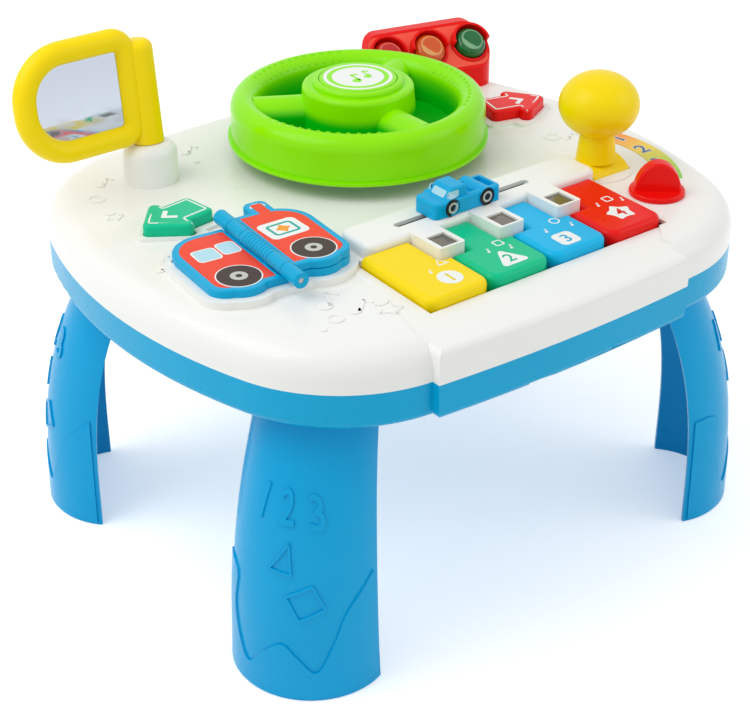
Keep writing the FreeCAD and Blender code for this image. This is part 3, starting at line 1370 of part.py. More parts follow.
def lamp(index):
    u = lamp_centres()[index]
    lens = cyl(u, 0, -LIGHT_WALL - 1.5, LAMP_STAND, LAMP_R)
    lens = rounded(lens, LAMP_STAND - 1.0, at_height(LAMP_STAND))
    flange = cyl(u, 0, -LIGHT_WALL - 1.6, -LIGHT_WALL - 0.1, LAMP_R + LAMP_FLANGE)
    well = cyl(u, 0, -LIGHT_WALL - 2.0, LAMP_STAND - 3.0, LAMP_R - 3.0)
    return place_light(on_face(fuse([lens, flange]).cut(well)))


def lamp_board():
    reach = LAMP_PITCH + 6.0
    plate = box(-reach, reach, -5.0, 5.0, -LAMP_BOARD_DROP - BOARD_THICK, -LAMP_BOARD_DROP)
    holes = [cyl(u, 0, -LAMP_BOARD_DROP - 5.0, -LAMP_BOARD_DROP + 1.0, SCREW_R + SCREW_FIT) for u in board_post_places()]
    return place_light(on_face(plate.cut(Part.makeCompound(holes))))


def leds():
    bulbs = []
    for u in lamp_centres():
        bulb = cyl(u, 0, -LAMP_BOARD_DROP, -LAMP_BOARD_DROP + LED_HEIGHT, LED_R)
        bulbs.append(rounded(bulb, LED_R - 0.6, at_height(-LAMP_BOARD_DROP + LED_HEIGHT)))
    return place_light(on_face(Part.makeCompound(bulbs)))


def lamp_board_screws():
    low = -LAMP_BOARD_DROP - BOARD_THICK - SCREW_HEAD_H
    screws = [screw_at(u, 0, low, BOARD_THICK + 4.0) for u in board_post_places()]
    return place_light(on_face(Part.makeCompound(screws)))


def housing_screws():
    screws = []
    for x in housing_screw_places():
        screws.append(screw_at(x, HOUSING_SCREW_Y, -WALL - HOUSING_PAD - SCREW_HEAD_H, HOUSING_SCREW_LENGTH))
    return place_light(Part.makeCompound(screws))


def housing_screw_holes():
    low = -WALL - HOUSING_PAD - 1.0
    holes = [cyl(x, HOUSING_SCREW_Y, low, 1.0, SCREW_R + SCREW_FIT) for x in housing_screw_places()]
    return place_light(Part.makeCompound(holes))


def housing_screw_pads():
    places = housing_screw_places()
    return [place_light(cyl(x, HOUSING_SCREW_Y, -WALL - HOUSING_PAD, -WALL + OVERLAP, CASING_BOSS_R)) for x in places]


# Legs: an open shell, bowed outwards, under a flat head with a plug
def leg_wire(half_width, sagitta, offset, z, inset):
    radius = (half_width ** 2 + sagitta ** 2) / (2 * sagitta)
    centre = offset + sagitta - radius

    def arc(r):
        reach = math.sqrt(r ** 2 - (offset - centre) ** 2)
        return (Vector(-reach, offset, z), Vector(0, centre + r, z), Vector(reach, offset, z))
    a0, a1, a2 = arc(radius)
    edges = [Part.Arc(a0, a1, a2).toShape()]
    if inset:
        b0, b1, b2 = arc(radius - inset)
        edges.append(Part.LineSegment(a2, b2).toShape())
        edges.append(Part.Arc(b2, b1, b0).toShape())
        edges.append(Part.LineSegment(b0, a0).toShape())
    else:
        edges.append(Part.LineSegment(a2, a0).toShape())
    return Part.Wire(edges)


def leg():
    wires = [leg_wire(half, sagitta, offset, z, LEG_WALL) for z, half, sagitta, offset in LEG_STATIONS]
    shell = Part.makeLoft(wires, True, False)
    z, half, sagitta, offset = LEG_STATIONS[-1]
    head_wire = leg_wire(half, sagitta, offset, z - LEG_PLATE, 0.0)
    head = Part.Face(head_wire).extrude(Vector(0, 0, LEG_PLATE))
    mid = offset + PLUG_SETBACK
    plug = soft_box(-PLUG_LENGTH / 2, PLUG_LENGTH / 2, mid - PLUG_WIDTH / 2, mid + PLUG_WIDTH / 2,
                    z - LEG_PLATE / 2, z + PLUG_HEIGHT, 3.0)
    well = box(-PLUG_LENGTH / 2 + WALL, PLUG_LENGTH / 2 - WALL, mid - PLUG_WIDTH / 2 + WALL,
               mid + PLUG_WIDTH / 2 - WALL, z - LEG_PLATE - 1.0, z + PLUG_HEIGHT - WALL)
    return fuse([shell, head, plug]).cut(well)


def place_leg(shape, sx, sy):
    shape = shape.copy()
    shape.rotate(Vector(0, 0, 0), Vector(0, 0, 1), LEG_FACING_DEG - 90.0)
    shape.translate(Vector(LEG_FOOT_X, LEG_FOOT_Y, 0))
    if sx < 0:
        shape = mirrored(shape, Vector(1, 0, 0))
    if sy < 0:
        shape = mirrored(shape, Vector(0, 1, 0))
    shape.translate(Vector(OUTLINE_X, OUTLINE_Y, 0))
    return shape


def leg_places():
    return {"front_left": (-1, -1), "front_right": (1, -1), "back_left": (-1, 1), "back_right": (1, 1)}


def leg_socket(grow, z0, z1):
    offset = LEG_STATIONS[-1][3] + PLUG_SETBACK
    reach = PLUG_LENGTH / 2 + grow
    half = PLUG_WIDTH / 2 + grow
    return soft_box(-reach, reach, offset - half, offset + half, z0, z1, 3.0 + grow)


def leg_sockets():
    outer = []
    inner = []
    low = RIM_BOTTOM_Z
    high = RIM_BOTTOM_Z + PLUG_HEIGHT + PLUG_CLEARANCE
    for sx, sy in leg_places().values():
        outer.append(place_leg(leg_socket(PLUG_CLEARANCE + SOCKET_WALL, low + TINY, high + SOCKET_WALL), sx, sy))
        inner.append(place_leg(leg_socket(PLUG_CLEARANCE, low - 1.0, high), sx, sy))
    return outer, inner


# Casing, top half
def casing_top(inset, lift):
    body = outline_prism(inset, SEAM_Z - (1.0 if inset else 0.0), TOP_Z - inset)
    body = rounded(body, TOP_EDGE_R - inset, at_height(TOP_Z - inset))
    body.translate(Vector(0, 0, lift))
    return body


def block_region():
    plan = prism(block_plan(0.0), SEAM_Z - 5.0, DECK_TOP_Z + 5.0)
    return plan.common(above_block(0.0))


def block_inner_region():
    plan = prism(block_plan(WALL), SEAM_Z - 5.0, DECK_TOP_Z + 5.0)
    return plan.common(above_block(WALL))


def key_opening():
    side = KEY_OPENING_CLEARANCE
    return box(KEY_LEFT_X - side, key_right_x() + side, KEY_FRONT_Y - side, DECK_FRONT_Y, SEAM_Z, DECK_TOP_Z + 1.0)


def arm_gate():
    top = KEY_PIVOT_Z + KEY_EAR_R + 1.5
    return box(KEY_LEFT_X, key_right_x(), DECK_FRONT_Y - 2.0, DECK_FRONT_Y + 3 * WALL, SEAM_Z, top)


def pedestal():
    return cyl(WHEEL_X, WHEEL_Y, TOP_Z - WALL, pedestal_top(), PEDESTAL_R)


def pedestal_hollow():
    return cyl(WHEEL_X, WHEEL_Y, TOP_Z - WALL - 1.0, pedestal_top() - WALL, PEDESTAL_R - WALL)


def bush_bore():
    radius = SHAFT_R + SHAFT_CLEARANCE + BUSH_WALL + SCREW_FIT
    return cyl(WHEEL_X, WHEEL_Y, TOP_Z - WALL - 1.0, pedestal_top() + 1.0, radius)


def gear_lip():
    lip = cyl(GEAR_X, GEAR_Y, TOP_Z - WALL, TOP_Z + GEAR_LIP_H, GEAR_LIP_R)
    return rounded(lip, GEAR_LIP_H - 0.2, at_height(TOP_Z + GEAR_LIP_H))


def arrow_pads():
    pads = []
    for side in ("left", "right"):
        pads.append(arrow_at(side, ARROW_CLEARANCE + ARROW_PAD_RIM, TOP_Z - WALL, TOP_Z + ARROW_PAD_H))
    return pads


def arrow_openings():
    return [arrow_at(side, ARROW_CLEARANCE, SEAM_Z, TOP_Z + 10.0) for side in ("left", "right")]


def book_pad():
    pad = book_outline(BOOK_PAD_RIM, TOP_Z - WALL, BOOK_PAD_Z)
    hollow = book_outline(BOOK_PAD_RIM - WALL, TOP_Z - 2 * WALL, BOOK_PAD_Z - WALL)
    return place_book(pad), place_book(hollow)


def seam_lip():
    root = outline_prism(WALL / 2, SEAM_Z, SEAM_Z + WALL)
    lip = outline_prism(WALL + LIP_CLEARANCE, SEAM_Z - SEAM_LIP, SEAM_Z + WALL)
    bore = outline_prism(WALL + LIP_CLEARANCE + SEAM_LIP_WALL, SEAM_Z - 2 * SEAM_LIP, SEAM_Z + 2 * WALL)
    ring = fuse([root, lip]).cut(bore)
    front = box(-BLOCK_HALF_X, BLOCK_HALF_X, -2 * TABLE_HALF_Y, KEY_FRONT_Y, SEAM_Z - 10.0, SEAM_Z + 10.0)
    return ring.cut(front)


def board_posts():
    posts = []
    for x, y in BOARD_POSTS:
        posts.append(cyl(x, y, BOARD_TOP_Z, TOP_Z - WALL, BOARD_POST_R))
    for side in ("left", "right"):
        for x, y in button_post_places(side):
            posts.append(cyl(x, y, BOARD_TOP_Z, TOP_Z - WALL + OVERLAP, BOARD_POST_R))
    return posts


def board_post_bores():
    places = list(BOARD_POSTS) + button_post_places("left") + button_post_places("right")
    return [cyl(x, y, BOARD_TOP_Z - 1.0, BOARD_TOP_Z + BOARD_SCREW_GRIP, SCREW_R + SCREW_FIT) for x, y in places]


def button_post_places(side):
    x, y = arrow_centre(side)
    turn = math.radians((LEFT_ARROW_TURN if side == "left" else RIGHT_ARROW_TURN) + 90.0)
    reach = BUTTON_POST_REACH
    return [(x + s * reach * math.cos(turn), y + s * reach * math.sin(turn)) for s in (-1, 1)]


def top_bosses():
    return [cyl(x, y, SEAM_Z, TOP_Z - WALL + OVERLAP, CASING_BOSS_R) for x, y in CASING_SCREWS]


def top_boss_bores():
    return [cyl(x, y, SEAM_Z - 1.0, SEAM_Z + CASING_GRIP + 1.0, SCREW_R + SCREW_FIT) for x, y in CASING_SCREWS]


def dial_recess():
    return dial_ring(0.0, SEAM_Z, TOP_Z + 1.0).cut(casing_top(0.0, -DIAL_SINK))


def top_shell():
    outer = casing_top(0.0, 0.0).cut(block_region())
    block = keyboard_block(0.0, 0.0)
    block = block.makeFillet(BLOCK_EDGE_R, top_edges_of_block(block))
    outer = fuse([outer, block, deck(0.0, 0.0)])
    inner = casing_top(WALL, 0.0).cut(block_inner_region())
    hollow = fuse([inner, keyboard_block(WALL, WALL), deck(WALL, WALL)])
    low_hollow = bulge(WALL, SEAM_Z - 1.0, SEAM_Z + OVERLAP)
    shell = outer.cut(hollow).cut(low_hollow)
    shell = shell.cut(key_opening()).cut(arm_gate()).cut(slot_cut())
    pad, pad_hollow = book_pad()
    shell = fuse([shell, pedestal(), pad, gear_lip(), mirror_post()] + arrow_pads() + window_bosses())
    hollows = [pedestal_hollow(), pad_hollow, mirror_post_hollow()] + window_boss_hollows()
    shell = shell.cut(Part.makeCompound(hollows))
    shell = fuse([shell, seam_lip()] + rod_posts() + board_posts() + top_bosses() + gear_cheeks()
                 + housing_screw_pads())
    knob_hole = cyl(KNOB_X, KNOB_Y, TOP_Z - 2 * WALL, TOP_Z + 1.0, KNOB_SHAFT_R + SHAFT_CLEARANCE)
    cuts = [bush_bore(), gear_opening(), gear_axle_bore(), knob_hole, mirror_bore(), dial_recess(),
            housing_screw_holes()]
    shell = shell.cut(Part.makeCompound(arrow_openings()))
    for cut in cuts + board_post_bores() + top_boss_bores() + slider_screw_bores():
        shell = shell.cut(cut)
    return shell


# Casing, bottom half
def battery_centres():
    first = BATTERY_Y - BATTERY_PITCH * (BATTERY_COUNT - 1) / 2
    return [first + BATTERY_PITCH * index for index in range(BATTERY_COUNT)]


def battery_z():
    return RIM_BOTTOM_Z + DOOR_THICK + DOOR_CLEARANCE + BATTERY_R


def bay_size():
    half_x = BATTERY_LENGTH / 2 + BOX_END_SPACE
    half_y = BATTERY_PITCH * (BATTERY_COUNT - 1) / 2 + BATTERY_R + 1.0
    return half_x, half_y


def bay(grow, z0, z1):
    half_x, half_y = bay_size()
    return box(BATTERY_X - half_x - grow, BATTERY_X + half_x + grow, BATTERY_Y - half_y - grow,
               BATTERY_Y + half_y + grow, z0, z1)


def bay_top():
    return battery_z() + BATTERY_R + DOOR_CLEARANCE


def door_plate(grow, z0, z1):
    half_x, half_y = bay_size()
    return soft_box(BATTERY_X - half_x - DOOR_LAP - grow, BATTERY_X + half_x + DOOR_LAP + DOOR_TAB + grow,
                    BATTERY_Y - half_y - DOOR_LAP - grow, BATTERY_Y + half_y + DOOR_LAP + grow, z0, z1, 3.0 + grow)


def door_screw_x():
    return BATTERY_X + bay_size()[0] + BOX_WALL + DOOR_TAB / 2 + 1.0


def battery_door():
    plate = door_plate(0.0, RIM_BOTTOM_Z, RIM_BOTTOM_Z + DOOR_THICK)
    x = door_screw_x()
    hole = cyl(x, BATTERY_Y, RIM_BOTTOM_Z - 1.0, RIM_BOTTOM_Z + DOOR_THICK + 1.0, SCREW_R + SCREW_FIT)
    sink = cyl(x, BATTERY_Y, RIM_BOTTOM_Z - 1.0, RIM_BOTTOM_Z + SCREW_SINK, SCREW_HEAD_R + 0.2)
    return plate.cut(hole).cut(sink)


def door_screw():
    return screw_at(door_screw_x(), BATTERY_Y, RIM_BOTTOM_Z + SCREW_SINK - SCREW_HEAD_H, 8.0)


def batteries():
    cells = []
    for index, y in enumerate(battery_centres()):
        flip = 1 if index % 2 else -1
        half = BATTERY_LENGTH / 2
        can = cyl_x(BATTERY_X - half, BATTERY_X + half - 1.0, y, battery_z(), BATTERY_R)
        nub = cyl_x(BATTERY_X + half - 1.0 - OVERLAP, BATTERY_X + half, y, battery_z(), 2.7)
        cell = fuse([can, nub])
        if flip < 0:
            cell.rotate(Vector(BATTERY_X, y, battery_z()), Vector(0, 0, 1), 180)
        cells.append(cell)
    return Part.makeCompound(cells)


def battery_contacts():
    half_x, half_y = bay_size()
    plates = []
    for side in (-1, 1):
        wall_x = BATTERY_X + side * half_x
        for y in battery_centres():
            inner = BATTERY_X + side * (BATTERY_LENGTH / 2 + CONTACT_GAP)
            plate = box(min(wall_x, wall_x - side * 0.4), max(wall_x, wall_x - side * 0.4), y - 5.5, y + 5.5,
                        battery_z() - 5.5, battery_z() + 5.5)
            bump = cyl_x(min(wall_x - side * 0.2, inner), max(wall_x - side * 0.2, inner), y, battery_z(), 2.5)
            plates.append(fuse([plate, bump]))
    return Part.makeCompound(plates)


def speaker_seat():
    return tube(SPEAKER_X, SPEAKER_Y, RIM_BOTTOM_Z + WALL - OVERLAP, RIM_BOTTOM_Z + WALL + 5.0,
                SPEAKER_R + DOOR_CLEARANCE + BOX_WALL, SPEAKER_R + DOOR_CLEARANCE)


def speaker():
    low = RIM_BOTTOM_Z + WALL
    rim = tube(SPEAKER_X, SPEAKER_Y, low, low + 2.0, SPEAKER_R, SPEAKER_R - 3.0)
    cone = Part.makeCone(SPEAKER_R - 1.0, SPEAKER_R / 2, 6.0, Vector(SPEAKER_X, SPEAKER_Y, low + 1.5), Vector(0, 0, 1))
    dish = Part.makeCone(SPEAKER_R - 2.5, SPEAKER_R / 3, 5.0, Vector(SPEAKER_X, SPEAKER_Y, low + 1.5 - TINY), Vector(0, 0, 1))
    magnet = cyl(SPEAKER_X, SPEAKER_Y, low + 7.0, low + SPEAKER_H, SPEAKER_R / 2)
    return fuse([rim, cone, magnet]).cut(dish)


def grille_holes():
    holes = [cyl(SPEAKER_X, SPEAKER_Y, RIM_BOTTOM_Z - 1.0, RIM_BOTTOM_Z + WALL + 1.0, GRILLE_HOLE_R)]
    for ring in range(1, 4):
        count = 6 * ring
        for index in range(count):
            angle = 2 * math.pi * index / count
            x = SPEAKER_X + 5.5 * ring * math.cos(angle)
            y = SPEAKER_Y + 5.5 * ring * math.sin(angle)
            holes.append(cyl(x, y, RIM_BOTTOM_Z - 1.0, RIM_BOTTOM_Z + WALL + 1.0, GRILLE_HOLE_R))
    return Part.makeCompound(holes)


def power_switch():
    low = RIM_BOTTOM_Z - 1.5
    seat = RIM_BOTTOM_Z + WALL
    slide = soft_box(SWITCH_X - 4.0, SWITCH_X + 4.0, SWITCH_Y - 2.5, SWITCH_Y + 2.5, low, seat + 1.0, 1.0)
    plate = box(SWITCH_X - 9.0, SWITCH_X + 9.0, SWITCH_Y - 4.5, SWITCH_Y + 4.5, seat + SWITCH_GAP, seat + 1.8)
    return fuse([slide, plate])


def switch_slot():
    return soft_box(SWITCH_X - 4.0 - SWITCH_GAP, SWITCH_X + 4.0 + SWITCH_GAP + SWITCH_TRAVEL, SWITCH_Y - 2.5 - SWITCH_GAP,
                    SWITCH_Y + 2.5 + SWITCH_GAP, RIM_BOTTOM_Z - 1.0, RIM_BOTTOM_Z + WALL + 1.0, 1.0)


def switch_guides():
    low = RIM_BOTTOM_Z + WALL - OVERLAP
    high = RIM_BOTTOM_Z + WALL + 1.8 + SWITCH_GAP
    guides = []
    for side in (-1, 1):
        edge = SWITCH_Y + side * (4.5 + SWITCH_GAP)
        post = box(SWITCH_X - 9.0, SWITCH_X + 9.0 + SWITCH_TRAVEL, min(edge, edge + side * 2.0), max(edge, edge + side * 2.0),
                   low, high + 1.2)
        hook = box(SWITCH_X - 9.0, SWITCH_X + 9.0 + SWITCH_TRAVEL, min(edge + side * 2.0, edge - side * 1.0),
                   max(edge + side * 2.0, edge - side * 1.0), high, high + 1.2)
        guides += [post, hook]
    return guides


def bottom_bosses():
    return [cyl(x, y, RIM_BOTTOM_Z + TINY, SEAM_Z, CASING_BOSS_R) for x, y in CASING_SCREWS]


def bottom_boss_bores():
    bores = []
    for x, y in CASING_SCREWS:
        bores.append(cyl(x, y, RIM_BOTTOM_Z - 1.0, RIM_BOTTOM_Z + CASING_SINK, SCREW_HEAD_R + 0.3))
        bores.append(cyl(x, y, RIM_BOTTOM_Z - 1.0, SEAM_Z + 1.0, SCREW_R + SCREW_FIT))
    return bores


def casing_screws():
    head_low = RIM_BOTTOM_Z + CASING_SINK - SCREW_HEAD_H
    length = SEAM_Z - RIM_BOTTOM_Z - CASING_SINK + CASING_GRIP
    return Part.makeCompound([screw_at(x, y, head_low, length) for x, y in CASING_SCREWS])


def bottom_shell():
    body = rounded(outline_prism(0.0, RIM_BOTTOM_Z, SEAM_Z), RIM_EDGE_R, at_height(RIM_BOTTOM_Z))
    front = rounded(bulge(0.0, RIM_BOTTOM_Z, SEAM_Z), RIM_EDGE_R, at_height(RIM_BOTTOM_Z))
    outer = fuse([body, front])
    floor = RIM_BOTTOM_Z + WALL
    tray = rounded(outline_prism(WALL, floor, SEAM_Z + 1.0), RIM_EDGE_R - WALL, at_height(floor))
    front_tray = bulge(WALL, floor + RIM_EDGE_R - WALL, SEAM_Z + 1.0)
    shell = outer.cut(fuse([tray, front_tray]))
    sockets, wells = leg_sockets()
    half_x, half_y = bay_size()
    bay_block = bay(BOX_WALL, floor - OVERLAP, bay_top() + BOX_WALL)
    tab = box(BATTERY_X + half_x, door_screw_x() + 4.0, BATTERY_Y - 6.0, BATTERY_Y + 6.0, floor - OVERLAP, floor + 8.0)
    ledge = door_plate(BOX_WALL, floor - OVERLAP, floor + DOOR_THICK + 1.0)
    shell = fuse([shell, bay_block, tab, ledge, speaker_seat()] + sockets + bottom_bosses() + switch_guides())
    bay_space = bay(0.0, RIM_BOTTOM_Z - 1.0, bay_top())
    door_space = door_plate(DOOR_CLEARANCE, RIM_BOTTOM_Z - 1.0, RIM_BOTTOM_Z + DOOR_THICK)
    screw_hole = cyl(door_screw_x(), BATTERY_Y, RIM_BOTTOM_Z, RIM_BOTTOM_Z + SCREW_SINK + 9.0, SCREW_R + SCREW_FIT)
    cuts = [bay_space, door_space, screw_hole, grille_holes(), switch_slot()] + wells + bottom_boss_bores()
    for cut in cuts:
        shell = shell.cut(cut)
    return shell


# Electronics
def circuit_board():
    plate = box(BOARD_X0, BOARD_X1, BOARD_Y0, BOARD_Y1, BOARD_TOP_Z - BOARD_THICK, BOARD_TOP_Z)
    for x, y in BOARD_POSTS:
        plate = plate.cut(cyl(x, y, BOARD_TOP_Z - 5.0, BOARD_TOP_Z + 1.0, SCREW_R + SCREW_FIT))
    return plate


def key_domes():
    domes = []
    for index in range(KEY_COUNT):
        domes.append(rubber_dome(KEY_LEFT_X + KEY_PITCH * (index + 0.5), plunger_y(), BOARD_TOP_Z))
    return Part.makeCompound(domes)


def board_screws():
    low = BOARD_TOP_Z - BOARD_THICK - SCREW_HEAD_H
    return Part.makeCompound([screw_at(x, y, low, BOARD_THICK + BOARD_SCREW_GRIP - 1.0) for x, y in BOARD_POSTS])


def button_boards():
    boards = []
    for side in ("left", "right"):
        x, y = arrow_centre(side)
        reach = BUTTON_POST_REACH + 5.0
        plate = box(x - 9.0, x + 9.0, y - reach, y + reach, BOARD_TOP_Z - BOARD_THICK, BOARD_TOP_Z)
        plate = turned(plate, LEFT_ARROW_TURN if side == "left" else RIGHT_ARROW_TURN, x, y)
        for px, py in button_post_places(side):
            plate = plate.cut(cyl(px, py, BOARD_TOP_Z - 5.0, BOARD_TOP_Z + 1.0, SCREW_R + SCREW_FIT))
        boards.append(plate)
    return Part.makeCompound(boards)


def button_board_screws():
    low = BOARD_TOP_Z - BOARD_THICK - SCREW_HEAD_H
    places = button_post_places("left") + button_post_places("right")
    return Part.makeCompound([screw_at(x, y, low, BOARD_THICK + BOARD_SCREW_GRIP - 1.0) for x, y in places])


def button_domes():
    domes = []
    for side in ("left", "right"):
        x, y = arrow_centre(side)
        domes.append(rubber_dome(x, y, BOARD_TOP_Z))
    return Part.makeCompound(domes)


# All nodes, moved so that the footprint is centred
def nodes():
    made = {
        "top_shell": top_shell(), "bottom_shell": bottom_shell(), "casing_screws": casing_screws(),
        "steering_wheel": steering_wheel(), "wheel_bush": wheel_bush(), "wheel_retainer": wheel_retainer(),
        "wheel_screw": wheel_screw(), "horn_button": horn_button(), "horn_dome": horn_dome(),
        "key_pivot_rod": key_pivot_rod(), "key_domes": key_domes(), "indicator_windows": indicator_windows(),
        "slider_car": slider_car(), "slider_carriage": slider_carriage(), "slider_rail": slider_rail(),
        "slider_screws": slider_screws(), "book_base": book_base(), "book_base_print": book_base_print(),
        "book_page": book_page(), "book_page_print": book_page_print(), "book_pin": book_pin(),
        "left_arrow_button": arrow_button("left"), "right_arrow_button": arrow_button("right"),
        "button_domes": button_domes(), "button_boards": button_boards(),
        "button_board_screws": button_board_screws(), "gear_lever": gear_lever(), "gear_axle": gear_axle(),
        "gear_dial": gear_dial(), "rotary_knob": rotary_knob(), "knob_encoder": knob_encoder(),
        "mirror_frame": mirror_frame(), "mirror_glass": mirror_glass(), "mirror_back": mirror_back(),
        "mirror_screw": mirror_screw(), "traffic_light_housing": traffic_light_housing(),
        "traffic_light_face": traffic_light_face(), "lamp_red": lamp(0), "lamp_amber": lamp(1),
        "lamp_green": lamp(2), "lamp_board": lamp_board(), "lamp_leds": leds(),
        "lamp_board_screws": lamp_board_screws(), "housing_screws": housing_screws(),
        "circuit_board": circuit_board(), "board_screws": board_screws(), "speaker": speaker(),
        "batteries": batteries(), "battery_contacts": battery_contacts(), "battery_door": battery_door(),
        "battery_door_screw": door_screw(), "power_switch": power_switch()}
    for index, name in enumerate(KEY_NAMES):
        made["key_" + name] = key_body(index)
    shape = leg()
    for name, (sx, sy) in leg_places().items():
        made["leg_" + name] = place_leg(shape, sx, sy)
    return made


def footprint_shift(made):
    bounds = [shape.optimalBoundingBox(False) for shape in made.values()]
    x = (min(b.XMin for b in bounds) + max(b.XMax for b in bounds)) / 2
    y = (min(b.YMin for b in bounds) + max(b.YMax for b in bounds)) / 2
    return Vector(-x, -y, 0)


def write_nodes():
    os.makedirs("parts", exist_ok=True)
    made = nodes()
    shift = footprint_shift(made)
    for name, shape in made.items():
        shape.translate(shift)
        shape.exportStep("parts/" + name + ".step")
        print(name, len(shape.Solids), shape.isValid(), round(shape.Volume))
    print("shift", shift)


if __name__ == "__main__":
    write_nodes()
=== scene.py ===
"""Musical activity table: its finishes, prints, small mouldings and studio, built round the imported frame."""
import math

import bmesh
import bpy
from bpy.props import FloatProperty, FloatVectorProperty, IntProperty, PointerProperty
from mathutils import Matrix, Vector
from mathutils.bvhtree import BVHTree


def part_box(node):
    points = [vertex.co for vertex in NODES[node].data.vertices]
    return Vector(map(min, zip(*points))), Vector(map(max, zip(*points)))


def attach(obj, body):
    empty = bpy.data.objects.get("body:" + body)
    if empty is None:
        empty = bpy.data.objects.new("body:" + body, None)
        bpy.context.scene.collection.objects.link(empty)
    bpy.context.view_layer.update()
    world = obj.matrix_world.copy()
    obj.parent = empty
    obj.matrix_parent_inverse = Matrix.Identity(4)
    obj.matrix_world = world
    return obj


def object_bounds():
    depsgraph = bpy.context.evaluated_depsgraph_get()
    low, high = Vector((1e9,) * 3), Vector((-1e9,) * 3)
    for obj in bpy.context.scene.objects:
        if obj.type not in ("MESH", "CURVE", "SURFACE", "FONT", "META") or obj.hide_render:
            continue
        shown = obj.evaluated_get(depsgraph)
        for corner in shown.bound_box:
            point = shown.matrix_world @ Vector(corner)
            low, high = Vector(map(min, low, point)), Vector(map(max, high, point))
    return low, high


bl_info = {
    "name": "Musical activity table",
    "version": (1, 0, 0),
    "blender": (4, 5, 0),
    "location": "3D View > Sidebar > Table",
    "description": "Finishes and details of a toddler's activity table",
    "category": "Object",
}

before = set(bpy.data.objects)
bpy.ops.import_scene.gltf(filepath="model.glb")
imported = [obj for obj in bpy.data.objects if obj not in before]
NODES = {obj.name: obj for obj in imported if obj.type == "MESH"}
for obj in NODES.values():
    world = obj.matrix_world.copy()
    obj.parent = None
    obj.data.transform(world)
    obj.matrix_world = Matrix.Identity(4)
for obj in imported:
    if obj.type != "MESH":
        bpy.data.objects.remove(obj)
CAD_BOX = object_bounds()

MM = 0.001
UP = (0.0, 0.0, 1.0)
INK_STEP = 0.08  # how far each ink stands over the one below it, in millimetres

# Places are given in the table's own sketch, in millimetres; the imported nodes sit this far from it.
SKETCH_SHIFT = (-8.0, -2.25)
OUTLINE_CENTRE = (8.0, 5.0)
LEG_FOOT = (149.0, 113.5)
LEG_FACING = math.radians(34.0)
LEG_ROUND = 36.0
LEGS = {"front_left": (-1, -1), "front_right": (1, -1), "back_left": (-1, 1), "back_right": (1, 1)}
WHEEL_CENTRE = (31.5, 66.5)
GRIP_REACH = 67.4
GRIP_GROUPS = (213.0, 333.0, 93.0)
GRIP_SPREAD = 60.0
BOOK_CENTRE = (-112.4, -31.5)
BOOK_TURN = -6.0
ARROWS = (("left", -123.0, 41.0, 8.0), ("right", 149.0, 50.0, 166.0))
CAR_FLOOR_Z = 226.8
CAR_MIDDLE_Y = -54.5
CAR_SIDES = (("front", -64.5, -1), ("back", -44.5, 1))
CAR_AXLES = (-0.5, 25.5)
LIGHT_TURN = math.radians(-13.0)
LIGHT_SLOPE = math.radians(40.6)


def spot(x, y, z=0.0):
    """A point of the sketch, in millimetres, as a point of the frame."""
    return Vector(((x + SKETCH_SHIFT[0]) * MM, (y + SKETCH_SHIFT[1]) * MM, z * MM))


def tone(red, green, blue):
    """A screen colour, 0 to 255, as the linear colour that a material takes."""
    def linear(part):
        part /= 255.0
        return part / 12.92 if part <= 0.04045 else ((part + 0.055) / 1.055) ** 2.4
    return tuple(linear(part) for part in (red, green, blue))


def paint(name, note, value):
    """A colour that a user may change."""
    return FloatVectorProperty(name=name, description=note, subtype="COLOR", size=3, min=0.0, max=1.0,
                               default=value)


def length(name, note, value):
    """A length that a user may change, in metres."""
    return FloatProperty(name=name, description=note, subtype="DISTANCE", unit="LENGTH", min=0.0,
                         default=value)


class TableColours(bpy.types.PropertyGroup):
    """Colours of the mouldings, buttons and prints, and the painted shade inside the wheel"""
    casing: paint("Casing", "White moulded top", tone(243, 244, 240))
    skirt: paint("Skirt", "Blue lower casing", tone(0, 168, 216))
    legs: paint("Legs", "Blue legs", tone(0, 166, 222))
    wheel: paint("Wheel", "Lime steering wheel", tone(146, 236, 0))
    # Painted shade: the deeper green painted down inside the wheel's well, where shade falls.
    well_shade: paint("Painted well shade", "Deeper green inside the wheel", tone(0, 190, 20))
    yellow: paint("Yellow", "Mirror frame, lever and first key", tone(252, 222, 0))
    green: paint("Green", "Second key", tone(0, 196, 140))
    teal: paint("Teal", "Left arrow", tone(0, 196, 146))
    sky: paint("Sky", "Third key", tone(0, 184, 236))
    red: paint("Red", "Fourth key, knob, right arrow and light box", tone(238, 14, 8))
    face: paint("Light face", "Front of the light box", tone(250, 92, 72))
    book: paint("Book", "Frame of the flip book", tone(0, 170, 218))
    card: paint("Card", "Printed cards of the flip book", tone(242, 66, 34))
    ink: paint("Ink", "White print", tone(240, 244, 242))
    dark: paint("Dark print", "Printed tyres", tone(58, 42, 36))
    figures: paint("Figures", "Numbers on the dial", tone(58, 98, 150))


class TableReliefs(bpy.types.PropertyGroup):
    """Heights of the prints and raised patterns"""
    print_lift: length("Print lift", "How far a print stands over its part", 0.00012)
    print_depth: length("Print depth", "Thickness of a print, most of it sunk in", 0.00035)
    leg_relief: length("Leg relief", "Height of the raised numbers on the legs", 0.0011)
    leg_panel: length("Leg panel", "Height of the wavy sleeve on the legs", 0.0011)
    top_relief: length("Top relief", "Height of the raised marks on the casing", 0.0007)
    rim_ribs: IntProperty(name="Rim ribs", description="Grip ribs in one of the wheel's three groups", min=3,
                          max=40, default=13)


